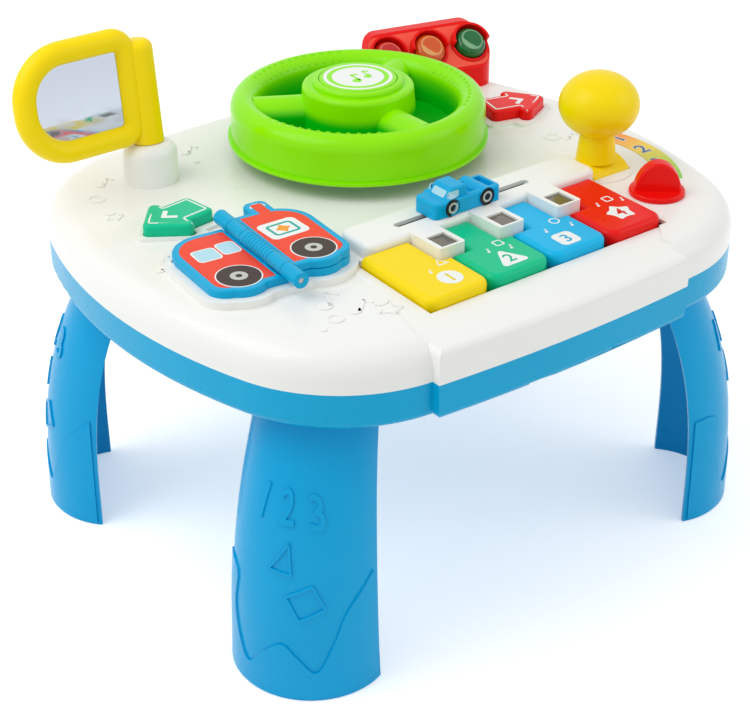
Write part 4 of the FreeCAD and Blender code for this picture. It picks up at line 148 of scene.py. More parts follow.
class TableStage(bpy.types.PropertyGroup):
    """Camera, lamps and floor"""
    focal: FloatProperty(name="Focal length", description="Lens of the camera, in millimetres", min=20.0,
                         max=300.0, default=86.4)
    tilt: FloatProperty(name="Tilt", description="Camera's angle from looking straight down", subtype="ANGLE",
                        unit="ROTATION", default=math.radians(60.14))
    turn: FloatProperty(name="Turn", description="Camera's angle about the vertical", subtype="ANGLE",
                        unit="ROTATION", default=math.radians(-37.86))
    place: FloatVectorProperty(name="Place", description="Where the camera stands", subtype="TRANSLATION",
                               unit="LENGTH", size=3, default=(-0.6203, -0.78135, 0.6739))
    sky: FloatProperty(name="Room light", description="Strength of the light from all round", min=0.0,
                       max=2.0, default=0.68)
    key: FloatProperty(name="Key lamp", description="Power of the large lamp, in watts", min=0.0, max=100.0,
                       default=6.2)
    fill: FloatProperty(name="Fill lamp", description="Power of the lamp on the other side, in watts",
                        min=0.0, max=100.0, default=2.6)


def colours():
    return bpy.context.scene.table_colours


def reliefs():
    return bpy.context.scene.table_reliefs


# Shader groups

def group_socket(group, name, kind, way, value=None):
    socket = group.interface.new_socket(name=name, in_out=way, socket_type=kind)
    if value is not None:
        socket.default_value = value


def node(tree, kind, x=0, y=0, **values):
    made = tree.nodes.new(kind)
    made.location = (x, y)
    for name, value in values.items():
        setattr(made, name, value)
    return made


def sums(tree, operation, first, second, x=0, y=0):
    """A Math node of two inputs, each a socket or a number."""
    made = node(tree, "ShaderNodeMath", x, y, operation=operation)
    for place, value in zip(made.inputs, (first, second)):
        if isinstance(value, bpy.types.NodeSocket):
            tree.links.new(value, place)
        else:
            place.default_value = value
    return made.outputs[0]


def blended(tree, share, first, second, x=0, y=0):
    """A colour mix; each of the three is a socket or a value."""
    made = node(tree, "ShaderNodeMix", x, y, data_type="RGBA")
    for place, value in ((made.inputs[0], share), (made.inputs[6], first), (made.inputs[7], second)):
        if isinstance(value, bpy.types.NodeSocket):
            tree.links.new(value, place)
        elif isinstance(value, (int, float)):
            place.default_value = value
        else:
            place.default_value = (*value, 1.0)
    return made.outputs[2]


def background_rays(tree, x, y):
    """1 for the rays that see the plain background: the camera's, and those off gloss and through glass."""
    path = node(tree, "ShaderNodeLightPath", x, y)
    seen = sums(tree, "MAXIMUM", path.outputs["Is Camera Ray"], path.outputs["Is Glossy Ray"], x + 200, y)
    return sums(tree, "MAXIMUM", seen, path.outputs["Is Transmission Ray"], x + 350, y)


def moulded_group():
    """Injection-moulded plastic: slow colour drift, a fine skin and faint handling marks."""
    group = bpy.data.node_groups.new("moulded_skin", "ShaderNodeTree")
    group_socket(group, "Colour", "NodeSocketColor", "INPUT", (0.8, 0.8, 0.8, 1.0))
    group_socket(group, "Drift", "NodeSocketFloat", "INPUT", 0.05)
    group_socket(group, "Gloss", "NodeSocketFloat", "INPUT", 0.25)
    group_socket(group, "Grain size", "NodeSocketFloat", "INPUT", 900.0)
    group_socket(group, "Colour", "NodeSocketColor", "OUTPUT")
    group_socket(group, "Roughness", "NodeSocketFloat", "OUTPUT")
    group_socket(group, "Height", "NodeSocketFloat", "OUTPUT")
    come = node(group, "NodeGroupInput", -900, 0)
    away = node(group, "NodeGroupOutput", 700, 0)
    where = node(group, "ShaderNodeTexCoord", -900, -300)
    slow = node(group, "ShaderNodeTexNoise", -650, 120)
    slow.inputs["Scale"].default_value = 16.0
    slow.inputs["Detail"].default_value = 2.0
    fine = node(group, "ShaderNodeTexNoise", -650, -160)
    fine.inputs["Detail"].default_value = 3.0
    marks = node(group, "ShaderNodeTexNoise", -650, -440)
    marks.inputs["Scale"].default_value = 70.0
    marks.inputs["Detail"].default_value = 5.0
    marks.inputs["Distortion"].default_value = 1.6
    for made in (slow, fine, marks):
        group.links.new(where.outputs["Object"], made.inputs["Vector"])
    group.links.new(come.outputs["Grain size"], fine.inputs["Scale"])
    centred = sums(group, "SUBTRACT", slow.outputs["Fac"], 0.5, -400, 120)
    drift = sums(group, "MULTIPLY", centred, come.outputs["Drift"], -200, 120)
    scale = sums(group, "ADD", drift, 1.0, 0, 120)
    tinted = node(group, "ShaderNodeHueSaturation", 250, 200)
    group.links.new(come.outputs["Colour"], tinted.inputs["Color"])
    group.links.new(scale, tinted.inputs["Value"])
    group.links.new(tinted.outputs["Color"], away.inputs["Colour"])
    worn = sums(group, "SUBTRACT", marks.outputs["Fac"], 0.42, -400, -440)
    handled = sums(group, "MULTIPLY", worn, 0.22, -200, -440)
    rough = sums(group, "ADD", come.outputs["Gloss"], handled, 0, -300)
    group.links.new(rough, away.inputs["Roughness"])
    group.links.new(fine.outputs["Fac"], away.inputs["Height"])
    return group


def brushed_group():
    """Plated metal: a fine grain with a little tarnish."""
    group = bpy.data.node_groups.new("plated_skin", "ShaderNodeTree")
    group_socket(group, "Colour", "NodeSocketColor", "INPUT", (0.6, 0.6, 0.6, 1.0))
    group_socket(group, "Tarnish", "NodeSocketFloat", "INPUT", 0.3)
    group_socket(group, "Colour", "NodeSocketColor", "OUTPUT")
    group_socket(group, "Roughness", "NodeSocketFloat", "OUTPUT")
    group_socket(group, "Height", "NodeSocketFloat", "OUTPUT")
    come = node(group, "NodeGroupInput", -900, 0)
    away = node(group, "NodeGroupOutput", 500, 0)
    where = node(group, "ShaderNodeTexCoord", -900, -300)
    lines = node(group, "ShaderNodeTexNoise", -600, -100)
    lines.inputs["Scale"].default_value = 1600.0
    spots = node(group, "ShaderNodeTexNoise", -600, -350)
    spots.inputs["Scale"].default_value = 260.0
    for made in (lines, spots):
        group.links.new(where.outputs["Object"], made.inputs["Vector"])
    share = sums(group, "MULTIPLY", spots.outputs["Fac"], come.outputs["Tarnish"], -350, -300)
    dulled = blended(group, share, come.outputs["Colour"], tone(110, 104, 96), -100, 0)
    group.links.new(dulled, away.inputs["Colour"])
    grain = sums(group, "MULTIPLY", lines.outputs["Fac"], 0.18, -350, -100)
    rough = sums(group, "ADD", grain, 0.2, -100, -200)
    group.links.new(rough, away.inputs["Roughness"])
    group.links.new(lines.outputs["Fac"], away.inputs["Height"])
    return group


GROUPS = {}


def shader_group(name):
    if name not in GROUPS:
        GROUPS[name] = {"moulded_skin": moulded_group, "plated_skin": brushed_group}[name]()
    return GROUPS[name]


SKIN_REACH = 0.0002
PLATE_REACH = 0.0001
COAT = 0.06
COAT_ROUGHNESS = 0.08
PLASTIC_SPECULAR = 0.16


def finish_base(name, skin, bump, reach):
    """A material with one Principled shader and a shader group; returns its tree, group node and shader."""
    made = bpy.data.materials.new(name)
    made.use_nodes = True
    tree = made.node_tree
    shader = tree.nodes["Principled BSDF"]
    shader.location = (300, 0)
    surface = node(tree, "ShaderNodeGroup", -300, 0, node_tree=shader_group(skin))
    tree.links.new(surface.outputs["Colour"], shader.inputs["Base Color"])
    tree.links.new(surface.outputs["Roughness"], shader.inputs["Roughness"])
    raised = node(tree, "ShaderNodeBump", 50, -250)
    raised.inputs["Strength"].default_value = bump
    raised.inputs["Distance"].default_value = reach
    tree.links.new(surface.outputs["Height"], raised.inputs["Height"])
    tree.links.new(raised.outputs["Normal"], shader.inputs["Normal"])
    return made, tree, surface, shader


def plastic(name, colour, gloss=0.3, drift=0.05, coat=COAT, bump=0.06):
    """Moulded plastic of one colour."""
    made, _, surface, shader = finish_base(name, "moulded_skin", bump, SKIN_REACH)
    surface.inputs["Colour"].default_value = (*colour, 1.0)
    surface.inputs["Drift"].default_value = drift
    surface.inputs["Gloss"].default_value = gloss
    shader.inputs["Coat Weight"].default_value = coat
    shader.inputs["Coat Roughness"].default_value = COAT_ROUGHNESS
    shader.inputs["Specular IOR Level"].default_value = PLASTIC_SPECULAR
    made.diffuse_color = (*colour, 1.0)
    return made


def metal(name, colour, tarnish=0.3):
    made, _, surface, shader = finish_base(name, "plated_skin", 0.1, PLATE_REACH)
    surface.inputs["Colour"].default_value = (*colour, 1.0)
    surface.inputs["Tarnish"].default_value = tarnish
    shader.inputs["Metallic"].default_value = 1.0
    return made


# Where the painted shade inside the wheel fades in: by radius inward from the well's edge, and by height
# downward, in metres.
WELL_EDGE = 0.0645
WELL_INSIDE = 0.0615
WELL_TOP_Z = 0.250
WELL_DEEP_Z = 0.243


def wheel_plastic_and_shade():
    """Lime plastic with painted shade: a deeper green painted down inside the wheel's well, where shade falls.
    """
    made, tree, surface, shader = finish_base("lime_plastic", "moulded_skin", 0.08, SKIN_REACH)
    surface.inputs["Drift"].default_value = 0.06
    surface.inputs["Gloss"].default_value = 0.2
    shader.inputs["Coat Weight"].default_value = COAT
    shader.inputs["Coat Roughness"].default_value = COAT_ROUGHNESS
    shader.inputs["Specular IOR Level"].default_value = PLASTIC_SPECULAR
    low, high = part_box("steering_wheel")
    centre = (low + high) / 2
    where = node(tree, "ShaderNodeTexCoord", -1500, 0)
    moved = node(tree, "ShaderNodeMapping", -1300, 0, vector_type="POINT")
    moved.inputs["Location"].default_value = (-centre.x, -centre.y, 0.0)
    tree.links.new(where.outputs["Object"], moved.inputs["Vector"])
    parts = node(tree, "ShaderNodeSeparateXYZ", -1100, 0)
    tree.links.new(moved.outputs["Vector"], parts.inputs["Vector"])
    across = sums(tree, "MULTIPLY", parts.outputs["X"], parts.outputs["X"], -900, 100)
    along = sums(tree, "MULTIPLY", parts.outputs["Y"], parts.outputs["Y"], -900, -50)
    radius = sums(tree, "POWER", sums(tree, "ADD", across, along, -750, 50), 0.5, -600, 50)
    inside = node(tree, "ShaderNodeMapRange", -450, 50, interpolation_type="SMOOTHSTEP")
    inside.inputs["From Min"].default_value = WELL_EDGE
    inside.inputs["From Max"].default_value = WELL_INSIDE
    tree.links.new(radius, inside.inputs["Value"])
    deep = node(tree, "ShaderNodeMapRange", -450, -250, interpolation_type="SMOOTHSTEP")
    deep.inputs["From Min"].default_value = WELL_TOP_Z
    deep.inputs["From Max"].default_value = WELL_DEEP_Z
    tree.links.new(parts.outputs["Z"], deep.inputs["Value"])
    # Painted shade: the share of the shade green, full inside the well's edge and low down in it, where shade
    # falls.
    share = sums(tree, "MULTIPLY", inside.outputs["Result"], deep.outputs["Result"], -300, -100)
    mix = blended(tree, share, colours().wheel, colours().well_shade, -150, 300)
    tree.links.new(mix, surface.inputs["Colour"])
    surface.location = (50, 0)
    return made


def dial_finish():
    """A printed dial that runs from green at the front through yellow to orange at the back."""
    made, tree, surface, _ = finish_base("dial_print", "moulded_skin", 0.03, SKIN_REACH)
    surface.inputs["Drift"].default_value = 0.04
    surface.inputs["Gloss"].default_value = 0.25
    low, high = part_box("gear_dial")
    where = node(tree, "ShaderNodeTexCoord", -1100, 0)
    parts = node(tree, "ShaderNodeSeparateXYZ", -900, 0)
    tree.links.new(where.outputs["Object"], parts.inputs["Vector"])
    along = node(tree, "ShaderNodeMapRange", -700, 0)
    along.inputs["From Min"].default_value = low.y
    along.inputs["From Max"].default_value = high.y
    tree.links.new(parts.outputs["Y"], along.inputs["Value"])
    ramp = node(tree, "ShaderNodeValToRGB", -500, 0)
    stops = ramp.color_ramp.elements
    stops[0].color = (*tone(110, 205, 40), 1.0)
    stops[1].color = (*tone(245, 96, 40), 1.0)
    for place, shade in ((0.3, tone(200, 222, 20)), (0.55, tone(250, 214, 0)), (0.8, tone(250, 150, 20))):
        stops.new(place).color = (*shade, 1.0)
    tree.links.new(along.outputs["Result"], ramp.inputs["Fac"])
    tree.links.new(ramp.outputs["Color"], surface.inputs["Colour"])
    return made


def mirror_finish():
    """Plastic mirror sheet, a little blue and faintly rippled."""
    made, _, surface, shader = finish_base("mirror_sheet", "moulded_skin", 0.01, SKIN_REACH)
    surface.inputs["Colour"].default_value = (*tone(196, 204, 216), 1.0)
    surface.inputs["Drift"].default_value = 0.03
    surface.inputs["Gloss"].default_value = 0.03
    surface.inputs["Grain size"].default_value = 25.0
    shader.inputs["Metallic"].default_value = 1.0
    return made


def battery_wrap():
    made, _, surface, _ = finish_base("cell_wrap", "moulded_skin", 0.03, SKIN_REACH)
    surface.inputs["Gloss"].default_value = 0.3
    surface.inputs["Colour"].default_value = (*tone(52, 58, 66), 1.0)
    return made


def finish_table():
    """Every material slot of the frame with its finish."""
    c = colours()
    return {
        "white_casing": plastic("white_casing", c.casing, drift=0.025, coat=0.25, bump=0.05),
        "blue_casing": plastic("blue_casing", c.skirt, gloss=0.26, drift=0.07),
        "blue_legs": plastic("blue_legs", c.legs, gloss=0.28, drift=0.08),
        "lime_plastic": wheel_plastic_and_shade(),
        "steel": metal("steel", tone(190, 192, 196)),
        "contact_nickel": metal("contact_nickel", tone(206, 204, 196), 0.15),
        "bush_white": plastic("bush_white", tone(214, 220, 216), gloss=0.4, coat=0.0),
        "rail_grey": plastic("rail_grey", tone(70, 108, 100), gloss=0.4, coat=0.0),
        "dome_rubber": plastic("dome_rubber", tone(206, 204, 198), gloss=0.6, coat=0.0, bump=0.2),
        "window_smoke": plastic("window_smoke", tone(96, 86, 70), gloss=0.1, drift=0.5, coat=0.8),
        "car_plastic": plastic("car_plastic", tone(0, 170, 222)),
        "book_plastic": plastic("book_plastic", c.book),
        "book_print": plastic("book_print", c.card, coat=0.1, bump=0.03),
        "teal_plastic": plastic("teal_plastic", c.teal),
        "red_plastic": plastic("red_plastic", c.red),
        "yellow_plastic": plastic("yellow_plastic", c.yellow),
        "green_plastic": plastic("green_plastic", c.green),
        "sky_plastic": plastic("sky_plastic", c.sky),
        "dial_print": dial_finish(),
        "black_plastic": plastic("black_plastic", tone(34, 34, 36), gloss=0.4, coat=0.0),
        "mirror_sheet": mirror_finish(),
        "light_face_print": plastic("light_face_print", c.face),
        **{name: plastic(name, colour, gloss=0.12, drift=0.1, coat=0.6) for name, colour in (
            ("lens_red", tone(200, 20, 10)), ("lens_amber", tone(214, 84, 10)),
            ("lens_green", tone(8, 104, 48)))},
        "board_green": plastic("board_green", tone(18, 96, 52), gloss=0.4, drift=0.3, coat=0.1),
        "led_clear": plastic("led_clear", tone(224, 228, 226), gloss=0.1, coat=0.6),
        "cell_wrap": battery_wrap(),
    }


FINISHES = {}


def extra_finishes():
    """Finishes that only the added pieces use."""
    c = colours()
    return {
        **{name: plastic(name, colour, drift=drift, coat=0.1, bump=0.02) for name, colour, drift in (
            ("white_ink", c.ink, 0.02), ("dark_ink", c.dark, 0.1), ("grey_ink", tone(196, 198, 190), 0.04),
            ("teal_ink", tone(40, 170, 160), 0.05), ("orange_ink", tone(246, 160, 30), 0.05),
            ("figure_ink", c.figures, 0.05))},
        "glass_ink": plastic("glass_ink", tone(176, 222, 236), gloss=0.2, drift=0.12, coat=0.3, bump=0.02),
        "tyre_black": plastic("tyre_black", tone(30, 30, 32), gloss=0.35, drift=0.1, coat=0.1),
        **{name: plastic(name, colour, gloss=0.16, drift=0.12, coat=0.5) for name, colour in (
            ("lens_pale_amber", tone(226, 160, 96)), ("lens_pale_green", tone(126, 176, 134)),
            ("lens_pale_red", tone(232, 110, 96)))},
        "floor_paper": floor_finish(),
    }


def floor_finish():
    """Pale studio paper, plain white to the camera, which still takes the shadows."""
    made = bpy.data.materials.new("floor_paper")
    made.use_nodes = True
    tree = made.node_tree
    shader = tree.nodes["Principled BSDF"]
    where = node(tree, "ShaderNodeTexCoord", -900, 0)
    fibre = node(tree, "ShaderNodeTexNoise", -700, 0)
    fibre.inputs["Scale"].default_value = 60.0
    tree.links.new(where.outputs["Object"], fibre.inputs["Vector"])
    mix = blended(tree, fibre.outputs["Fac"], tone(250, 250, 250), tone(254, 254, 254), -400, 100)
    tree.links.new(mix, shader.inputs["Base Color"])
    shader.inputs["Roughness"].default_value = 0.9
    shader.inputs["Specular IOR Level"].default_value = 0.0
    lift = blended(tree, background_rays(tree, -600, -300), (0.0, 0.0, 0.0), (1.0, 1.0, 1.0), -100, -300)
    tree.links.new(lift, shader.inputs["Emission Color"])
    shader.inputs["Emission Strength"].default_value = 0.4
    return made


# Mesh tools

SHARP_ANGLE = math.radians(38)


def settle(name, bm, material, body, smooth=True):
    """Writes a bmesh as a finished piece that rides on a body."""
    mesh = bpy.data.meshes.new(name)
    bmesh.ops.triangulate(bm, faces=[face for face in bm.faces if len(face.verts) > 4])
    bm.to_mesh(mesh)
    bm.free()
    if smooth:
        mesh.shade_smooth()
        mesh.set_sharp_from_angle(angle=SHARP_ANGLE)
    piece = bpy.data.objects.new(name, mesh)
    bpy.context.scene.collection.objects.link(piece)
    mesh.materials.append(FINISHES[material])
    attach(piece, body)


def flat_shape(points):
    """A flat face from corner points, in millimetres."""
    bm = bmesh.new()
    bm.faces.new([bm.verts.new((x * MM, y * MM, 0.0)) for x, y in points])
    return bm


def round_corners(bm, radius, segments=5):
    """Rounds the corners of a flat face."""
    bmesh.ops.bevel(bm, geom=bm.verts[:], offset=radius * MM, segments=segments, profile=0.5, affect="VERTICES",
                    material=-1)
    return bm


def disc(radius, segments=40):
    bm = bmesh.new()
    bmesh.ops.create_circle(bm, cap_ends=True, radius=radius * MM, segments=segments)
    return bm


def outline_only(bm, width):
    """Leaves only a border of the flat face."""
    inner = bm.faces[:]
    bmesh.ops.inset_region(bm, faces=inner, thickness=width * MM, use_even_offset=True, use_boundary=True)
    bmesh.ops.delete(bm, geom=inner, context="FACES")
    return bm


def annulus(inner, outer, segments=48):
    return outline_only(disc(outer, segments), outer - inner)


def figure(words, height, fat=0.012):
    """A printed or raised number, centred on the origin."""
    curve = bpy.data.curves.new("figure", "FONT")
    curve.body = words
    curve.align_x = "CENTER"
    curve.align_y = "CENTER"
    curve.resolution_u = 4
    curve.offset = fat
    holder = bpy.data.objects.new("figure", curve)
    bpy.context.scene.collection.objects.link(holder)
    bpy.context.view_layer.update()
    mesh = bpy.data.meshes.new_from_object(holder)
    bm = bmesh.new()
    bm.from_mesh(mesh)
    bpy.data.objects.remove(holder)
    bpy.data.meshes.remove(mesh)
    bpy.data.curves.remove(curve)
    low = Vector([min(vert.co[axis] for vert in bm.verts) for axis in range(3)])
    high = Vector([max(vert.co[axis] for vert in bm.verts) for axis in range(3)])
    size = height * MM / (high.y - low.y)
    middle = (low + high) / 2
    bmesh.ops.remove_doubles(bm, verts=bm.verts, dist=1e-5)
    bmesh.ops.transform(bm, matrix=Matrix.Scale(size, 4) @ Matrix.Translation(-middle), verts=bm.verts)
    for face in bm.faces:
        if face.normal.z < 0:
            face.normal_flip()
    return bm


def joined(*shapes):
    """Several bmeshes as one."""
    whole = bmesh.new()
    for shape in shapes:
        mesh = bpy.data.meshes.new("join")
        shape.to_mesh(mesh)
        shape.free()
        whole.from_mesh(mesh)
        bpy.data.meshes.remove(mesh)
    return whole


def shifted(bm, x=0.0, y=0.0, turn=0.0):
    """Turns a shape in its plane, in degrees, and then moves it, in millimetres."""
    move = Matrix.Translation((x * MM, y * MM, 0.0)) @ Matrix.Rotation(math.radians(turn), 4, "Z")
    bmesh.ops.transform(bm, matrix=move, verts=bm.verts)
    return bm


def refine(bm, step):
    """Cuts a flat shape into cells no larger than a step, in millimetres, so it can follow a curved part."""
    for axis in range(2):
        low = min(vert.co[axis] for vert in bm.verts)
        high = max(vert.co[axis] for vert in bm.verts)
        count = int((high - low) / (step * MM))
        normal = Vector((1, 0, 0)) if axis == 0 else Vector((0, 1, 0))
        for index in range(1, count + 1):
            point = normal * (low + (high - low) * index / (count + 1))
            bmesh.ops.bisect_plane(bm, geom=bm.verts[:] + bm.edges[:] + bm.faces[:], dist=1e-7,
                                   plane_co=point, plane_no=normal)
    return bm


TREES = {}
REACH = 0.4  # how far off a part the search for its surface starts, in metres


def surface_tree(name):
    """The surface of a CAD node, to lay prints on."""
    if name not in TREES:
        mesh = NODES[name].data
        TREES[name] = BVHTree.FromPolygons([vert.co for vert in mesh.vertices],
                                           [face.vertices[:] for face in mesh.polygons])
    return TREES[name]


def laid(bm, place, node_name, out, lift, depth):
    """Lays a flat shape on a CAD node along a direction and gives it its thickness.

    place takes the shape's own plane to the frame, out is the way from the part to the eye, lift is how far
    the face stands over the part, and depth how thick the shape is. A point off the part keeps to the level of
    the others."""
    tree = surface_tree(node_name)
    out = Vector(out).normalized()
    bmesh.ops.transform(bm, matrix=place, verts=bm.verts)
    missed = []
    levels = []
    for vert in bm.verts:
        found = tree.ray_cast(vert.co + out * REACH, -out, 2 * REACH)
        if found[0] is None:
            missed.append(vert)
        else:
            vert.co = found[0] + out * lift
            levels.append(vert.co.dot(out))
    for vert in missed:
        vert.co += out * (sum(levels) / len(levels) - vert.co.dot(out))
    bm.normal_update()
    for face in bm.faces:
        if face.normal.dot(out) < 0:
            face.normal_flip()
    grown = bmesh.ops.extrude_face_region(bm, geom=bm.faces[:], use_keep_orig=True)
    fresh = [item for item in grown["geom"] if isinstance(item, bmesh.types.BMVert)]
    bmesh.ops.translate(bm, vec=-out * depth, verts=fresh)
    bmesh.ops.recalc_face_normals(bm, faces=bm.faces)
    return bm


def printed(name, bm, place, node_name, material, body, out=UP, extra=0.0):
    """A thin print on a part."""
    r = reliefs()
    laid(bm, place, node_name, out, r.print_lift + extra * MM, r.print_depth + extra * MM)
    settle(name, bm, material, body, smooth=False)


class TABLE_OT_finishes(bpy.types.Operator):
    """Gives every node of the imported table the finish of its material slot"""
    bl_idname = "table.finishes"
    bl_label = "Finishes"

    def execute(self, context):
        FINISHES.update(finish_table())
        FINISHES.update(extra_finishes())
        for obj in NODES.values():
            made = FINISHES[obj.data.materials[0].name.split(".")[0]]
            for place in obj.material_slots:
                place.material = made
        return {"FINISHED"}


def flat_at(x, y, turn=0.0):
    """The place of a level print centred on a point of the sketch."""
    return Matrix.Translation(spot(x, y)) @ Matrix.Rotation(math.radians(turn), 4, "Z")


def square(width, height=None, radius=2.0):
    """A flat rectangle with rounded corners."""
    half, tall = width / 2, (height or width) / 2
    return round_corners(flat_shape([(-half, -tall), (half, -tall), (half, tall), (-half, tall)]), radius)


def triangle(size, radius=2.0):
    half, foot, tip = size * 0.56, size * 0.45, size * 0.55
    return round_corners(flat_shape([(-half, -foot), (half, -foot), (0, tip)]), radius)


def star(outer, inner, lobes=5, radius=1.4):
    points = []
    for index in range(2 * lobes):
        reach = inner if index % 2 else outer
        angle = math.pi * index / lobes + math.pi / 2
        points.append((reach * math.cos(angle), reach * math.sin(angle)))
    return round_corners(flat_shape(points), radius, 4)


def small_note(size=1.0):
    """A small generic note: a head, a stem and a flag."""
    stem = shifted(square(0.7 * size, 4.4 * size, 0.1), 1.0 * size, 2.0 * size)
    flag = shifted(square(2.2 * size, 0.8 * size, 0.1), 1.9 * size, 4.0 * size, -24)
    return joined(disc(1.3 * size, 16), stem, flag)


# Each key with its body, its finish, and where its number, its small shape and its notes stand
KEY_MOTIFS = (
    ("key_yellow", "yellow_key", "yellow_plastic", (-43.4, -114.1), (-36.6, -97.3), ((-48.9, -104.4),)),
    ("key_green", "green_key", "green_plastic", (-2.2, -115.3), (4.4, -99.2), ((-6.9, -104.5), (6.9, -108.0))),
    ("key_blue", "blue_key", "sky_plastic", (39.9, -117.5), (49.0, -97.6), ((36.1, -105.4), (54.0, -107.6))),
    ("key_red", "red_key", "red_plastic", (88.4, -111.8), (94.3, -94.8), ((83.8, -98.5), (101.0, -101.2))),
)
KEY_NUMBER = 8.6


class TABLE_OT_key_prints(bpy.types.Operator):
    """Prints a plain number in a shape, and small shapes, on every key"""
    bl_idname = "table.key_prints"
    bl_label = "Key prints"

    def execute(self, context):
        badges = (disc(7.4), triangle(18.0, 3.6), square(14.0, 14.0, 3.4), star(9.4, 6.2))
        marks = (triangle(7.6, 0.9), square(6.2, 6.2, 1.2), disc(3.4, 24), square(6.2, 6.2, 1.2))
        drops = (0.0, -1.0, 0.0, 0.0)
        for index, (key, body, colour, badge_at, mark_at, notes) in enumerate(KEY_MOTIFS):
            printed(f"{key}_badge", badges[index], flat_at(*badge_at), key, "white_ink", body)
            number = shifted(figure(str(index + 1), KEY_NUMBER), 0.0, drops[index])
            printed(f"{key}_number", number, flat_at(*badge_at), key, colour, body, extra=INK_STEP)
            printed(f"{key}_mark", outline_only(marks[index], 0.9), flat_at(*mark_at), key, "white_ink", body)
            for count, place in enumerate(notes):
                printed(f"{key}_note_{count + 1}", small_note(0.75), flat_at(*place), key, "white_ink", body)
        return {"FINISHED"}


class TABLE_OT_arrow_prints(bpy.types.Operator):
    """Prints a white outline and a chevron on both arrow buttons"""
    bl_idname = "table.arrow_prints"
    bl_label = "Arrow prints"

    def execute(self, context):
        border = [(-19.6, 0.0), (-0.2, 19.0), (-0.2, 9.4), (18.0, 9.4), (18.0, -9.4), (-0.2, -9.4),
                  (-0.2, -19.0)]
        chevron = [(-8.5, 0.0), (-1.5, 6.4), (0.6, 4.4), (-4.2, 0.0), (0.6, -4.4), (-1.5, -6.4)]
        for side, x, y, turn in ARROWS:
            button, body = f"{side}_arrow_button", f"{side}_arrow"
            line = outline_only(round_corners(flat_shape(border), 1.6, 3), 1.1)
            printed(f"{side}_arrow_line", line, flat_at(x, y, turn), button, "white_ink", body)
            mark = round_corners(flat_shape(chevron), 0.5, 2)
            printed(f"{side}_arrow_chevron", mark, flat_at(x - 1.0, y, turn), button, "white_ink", body)
        return {"FINISHED"}


TYRE_PLACE = (23.5, -19.5)
TYRE_INKS = (("tyre_edge", 13.2, 40, "white_ink"), ("tyre", 12.4, 40, "dark_ink"), ("hub", 5.0, 32, "grey_ink"),
             ("hub_hole", 1.9, 24, "dark_ink"))
SPINE_RIBS = 9
SPINE_RIB_PITCH = 0.0029
SPINE_RIB_R = 0.0050
SPINE_RIB_WIDTH = 0.0014
SPINE_RIB_ROUND = 0.0005


def on_book(u, v, turn=0.0):
    """The place of a level print at a point of the open book."""
    angle = math.radians(BOOK_TURN)
    x = BOOK_CENTRE[0] + u * math.cos(angle) - v * math.sin(angle)
    y = BOOK_CENTRE[1] + u * math.sin(angle) + v * math.cos(angle)
    return flat_at(x, y, BOOK_TURN + turn)


def spine_rib(place):
    """A thin ring round the book's spine."""
    ring = bmesh.new()
    bmesh.ops.create_cone(ring, cap_ends=True, segments=32, radius1=SPINE_RIB_R, radius2=SPINE_RIB_R,
                          depth=SPINE_RIB_WIDTH)
    rims = [edge for edge in ring.edges if abs(edge.verts[0].co.z - edge.verts[1].co.z) < 1e-6]
    bmesh.ops.bevel(ring, geom=rims, offset=SPINE_RIB_ROUND, segments=2, profile=0.5, affect="EDGES",
                    material=-1)
    bmesh.ops.transform(ring, matrix=place, verts=ring.verts)
    return ring


class TABLE_OT_book_prints(bpy.types.Operator):
    """Prints tyres, windows and a plain motif on the flip book, and ribs its spine"""
    bl_idname = "table.book_prints"
    bl_label = "Book prints"

    def execute(self, context):
        for side, sign, card, body in (("left", -1, "book_base_print", "table"),
                                       ("right", 1, "book_page_print", "page")):
            hub = on_book(sign * TYRE_PLACE[0], TYRE_PLACE[1])
            for step, (part, radius, segments, ink) in enumerate(TYRE_INKS):
                printed(f"book_{side}_{part}", disc(radius, segments), hub, card, ink, body,
                        extra=step * INK_STEP)
        for count, (u, v, width) in enumerate(((-27.0, 12.0, 13.0), (-12.5, 14.0, 10.0))):
            pane = on_book(u, v)
            printed(f"book_window_edge_{count + 1}", square(width + 2.0, 15.0, 3.0), pane, "book_base_print",
                    "white_ink", "table")
            printed(f"book_window_{count + 1}", square(width, 13.0, 2.2), pane, "book_base_print", "glass_ink",
                    "table", extra=INK_STEP)
        panel = on_book(21.0, 10.5, 4.0)
        for name, shape, ink, step in (("book_panel", square(25.0, 21.0, 3.6), "white_ink", 0.0),
                                       ("book_panel_frame", outline_only(square(17.0, 14.0, 2.6), 1.7),
                                        "teal_ink", INK_STEP),
                                       ("book_panel_gem", star(5.2, 2.9, 4, 0.7), "orange_ink", INK_STEP)):
            printed(name, shape, panel, "book_page_print", ink, "page", extra=step)
        arch = outline_only(disc(5.0, 32), 1.0)
        bmesh.ops.bisect_plane(arch, geom=arch.verts[:] + arch.edges[:] + arch.faces[:], plane_co=(0, 0, 0),
                               plane_no=(0, 1, 0), clear_inner=True)
        printed("book_siren_arch", arch, on_book(22.5, 42.5), "book_page", "white_ink", "page")
        low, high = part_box("book_pin")
        middle = (low + high) / 2
        angle = math.radians(-BOOK_TURN)
        along = Vector((math.sin(angle), math.cos(angle), 0.0))
        way = along.to_track_quat("Z", "X").to_matrix().to_4x4()
        steps = [(count - SPINE_RIBS // 2) * SPINE_RIB_PITCH for count in range(SPINE_RIBS)]
        ribs = [spine_rib(Matrix.Translation(middle + along * step) @ way) for step in steps]
        settle("book_spine_ribs", joined(*ribs), "book_plastic", "table")
        return {"FINISHED"}


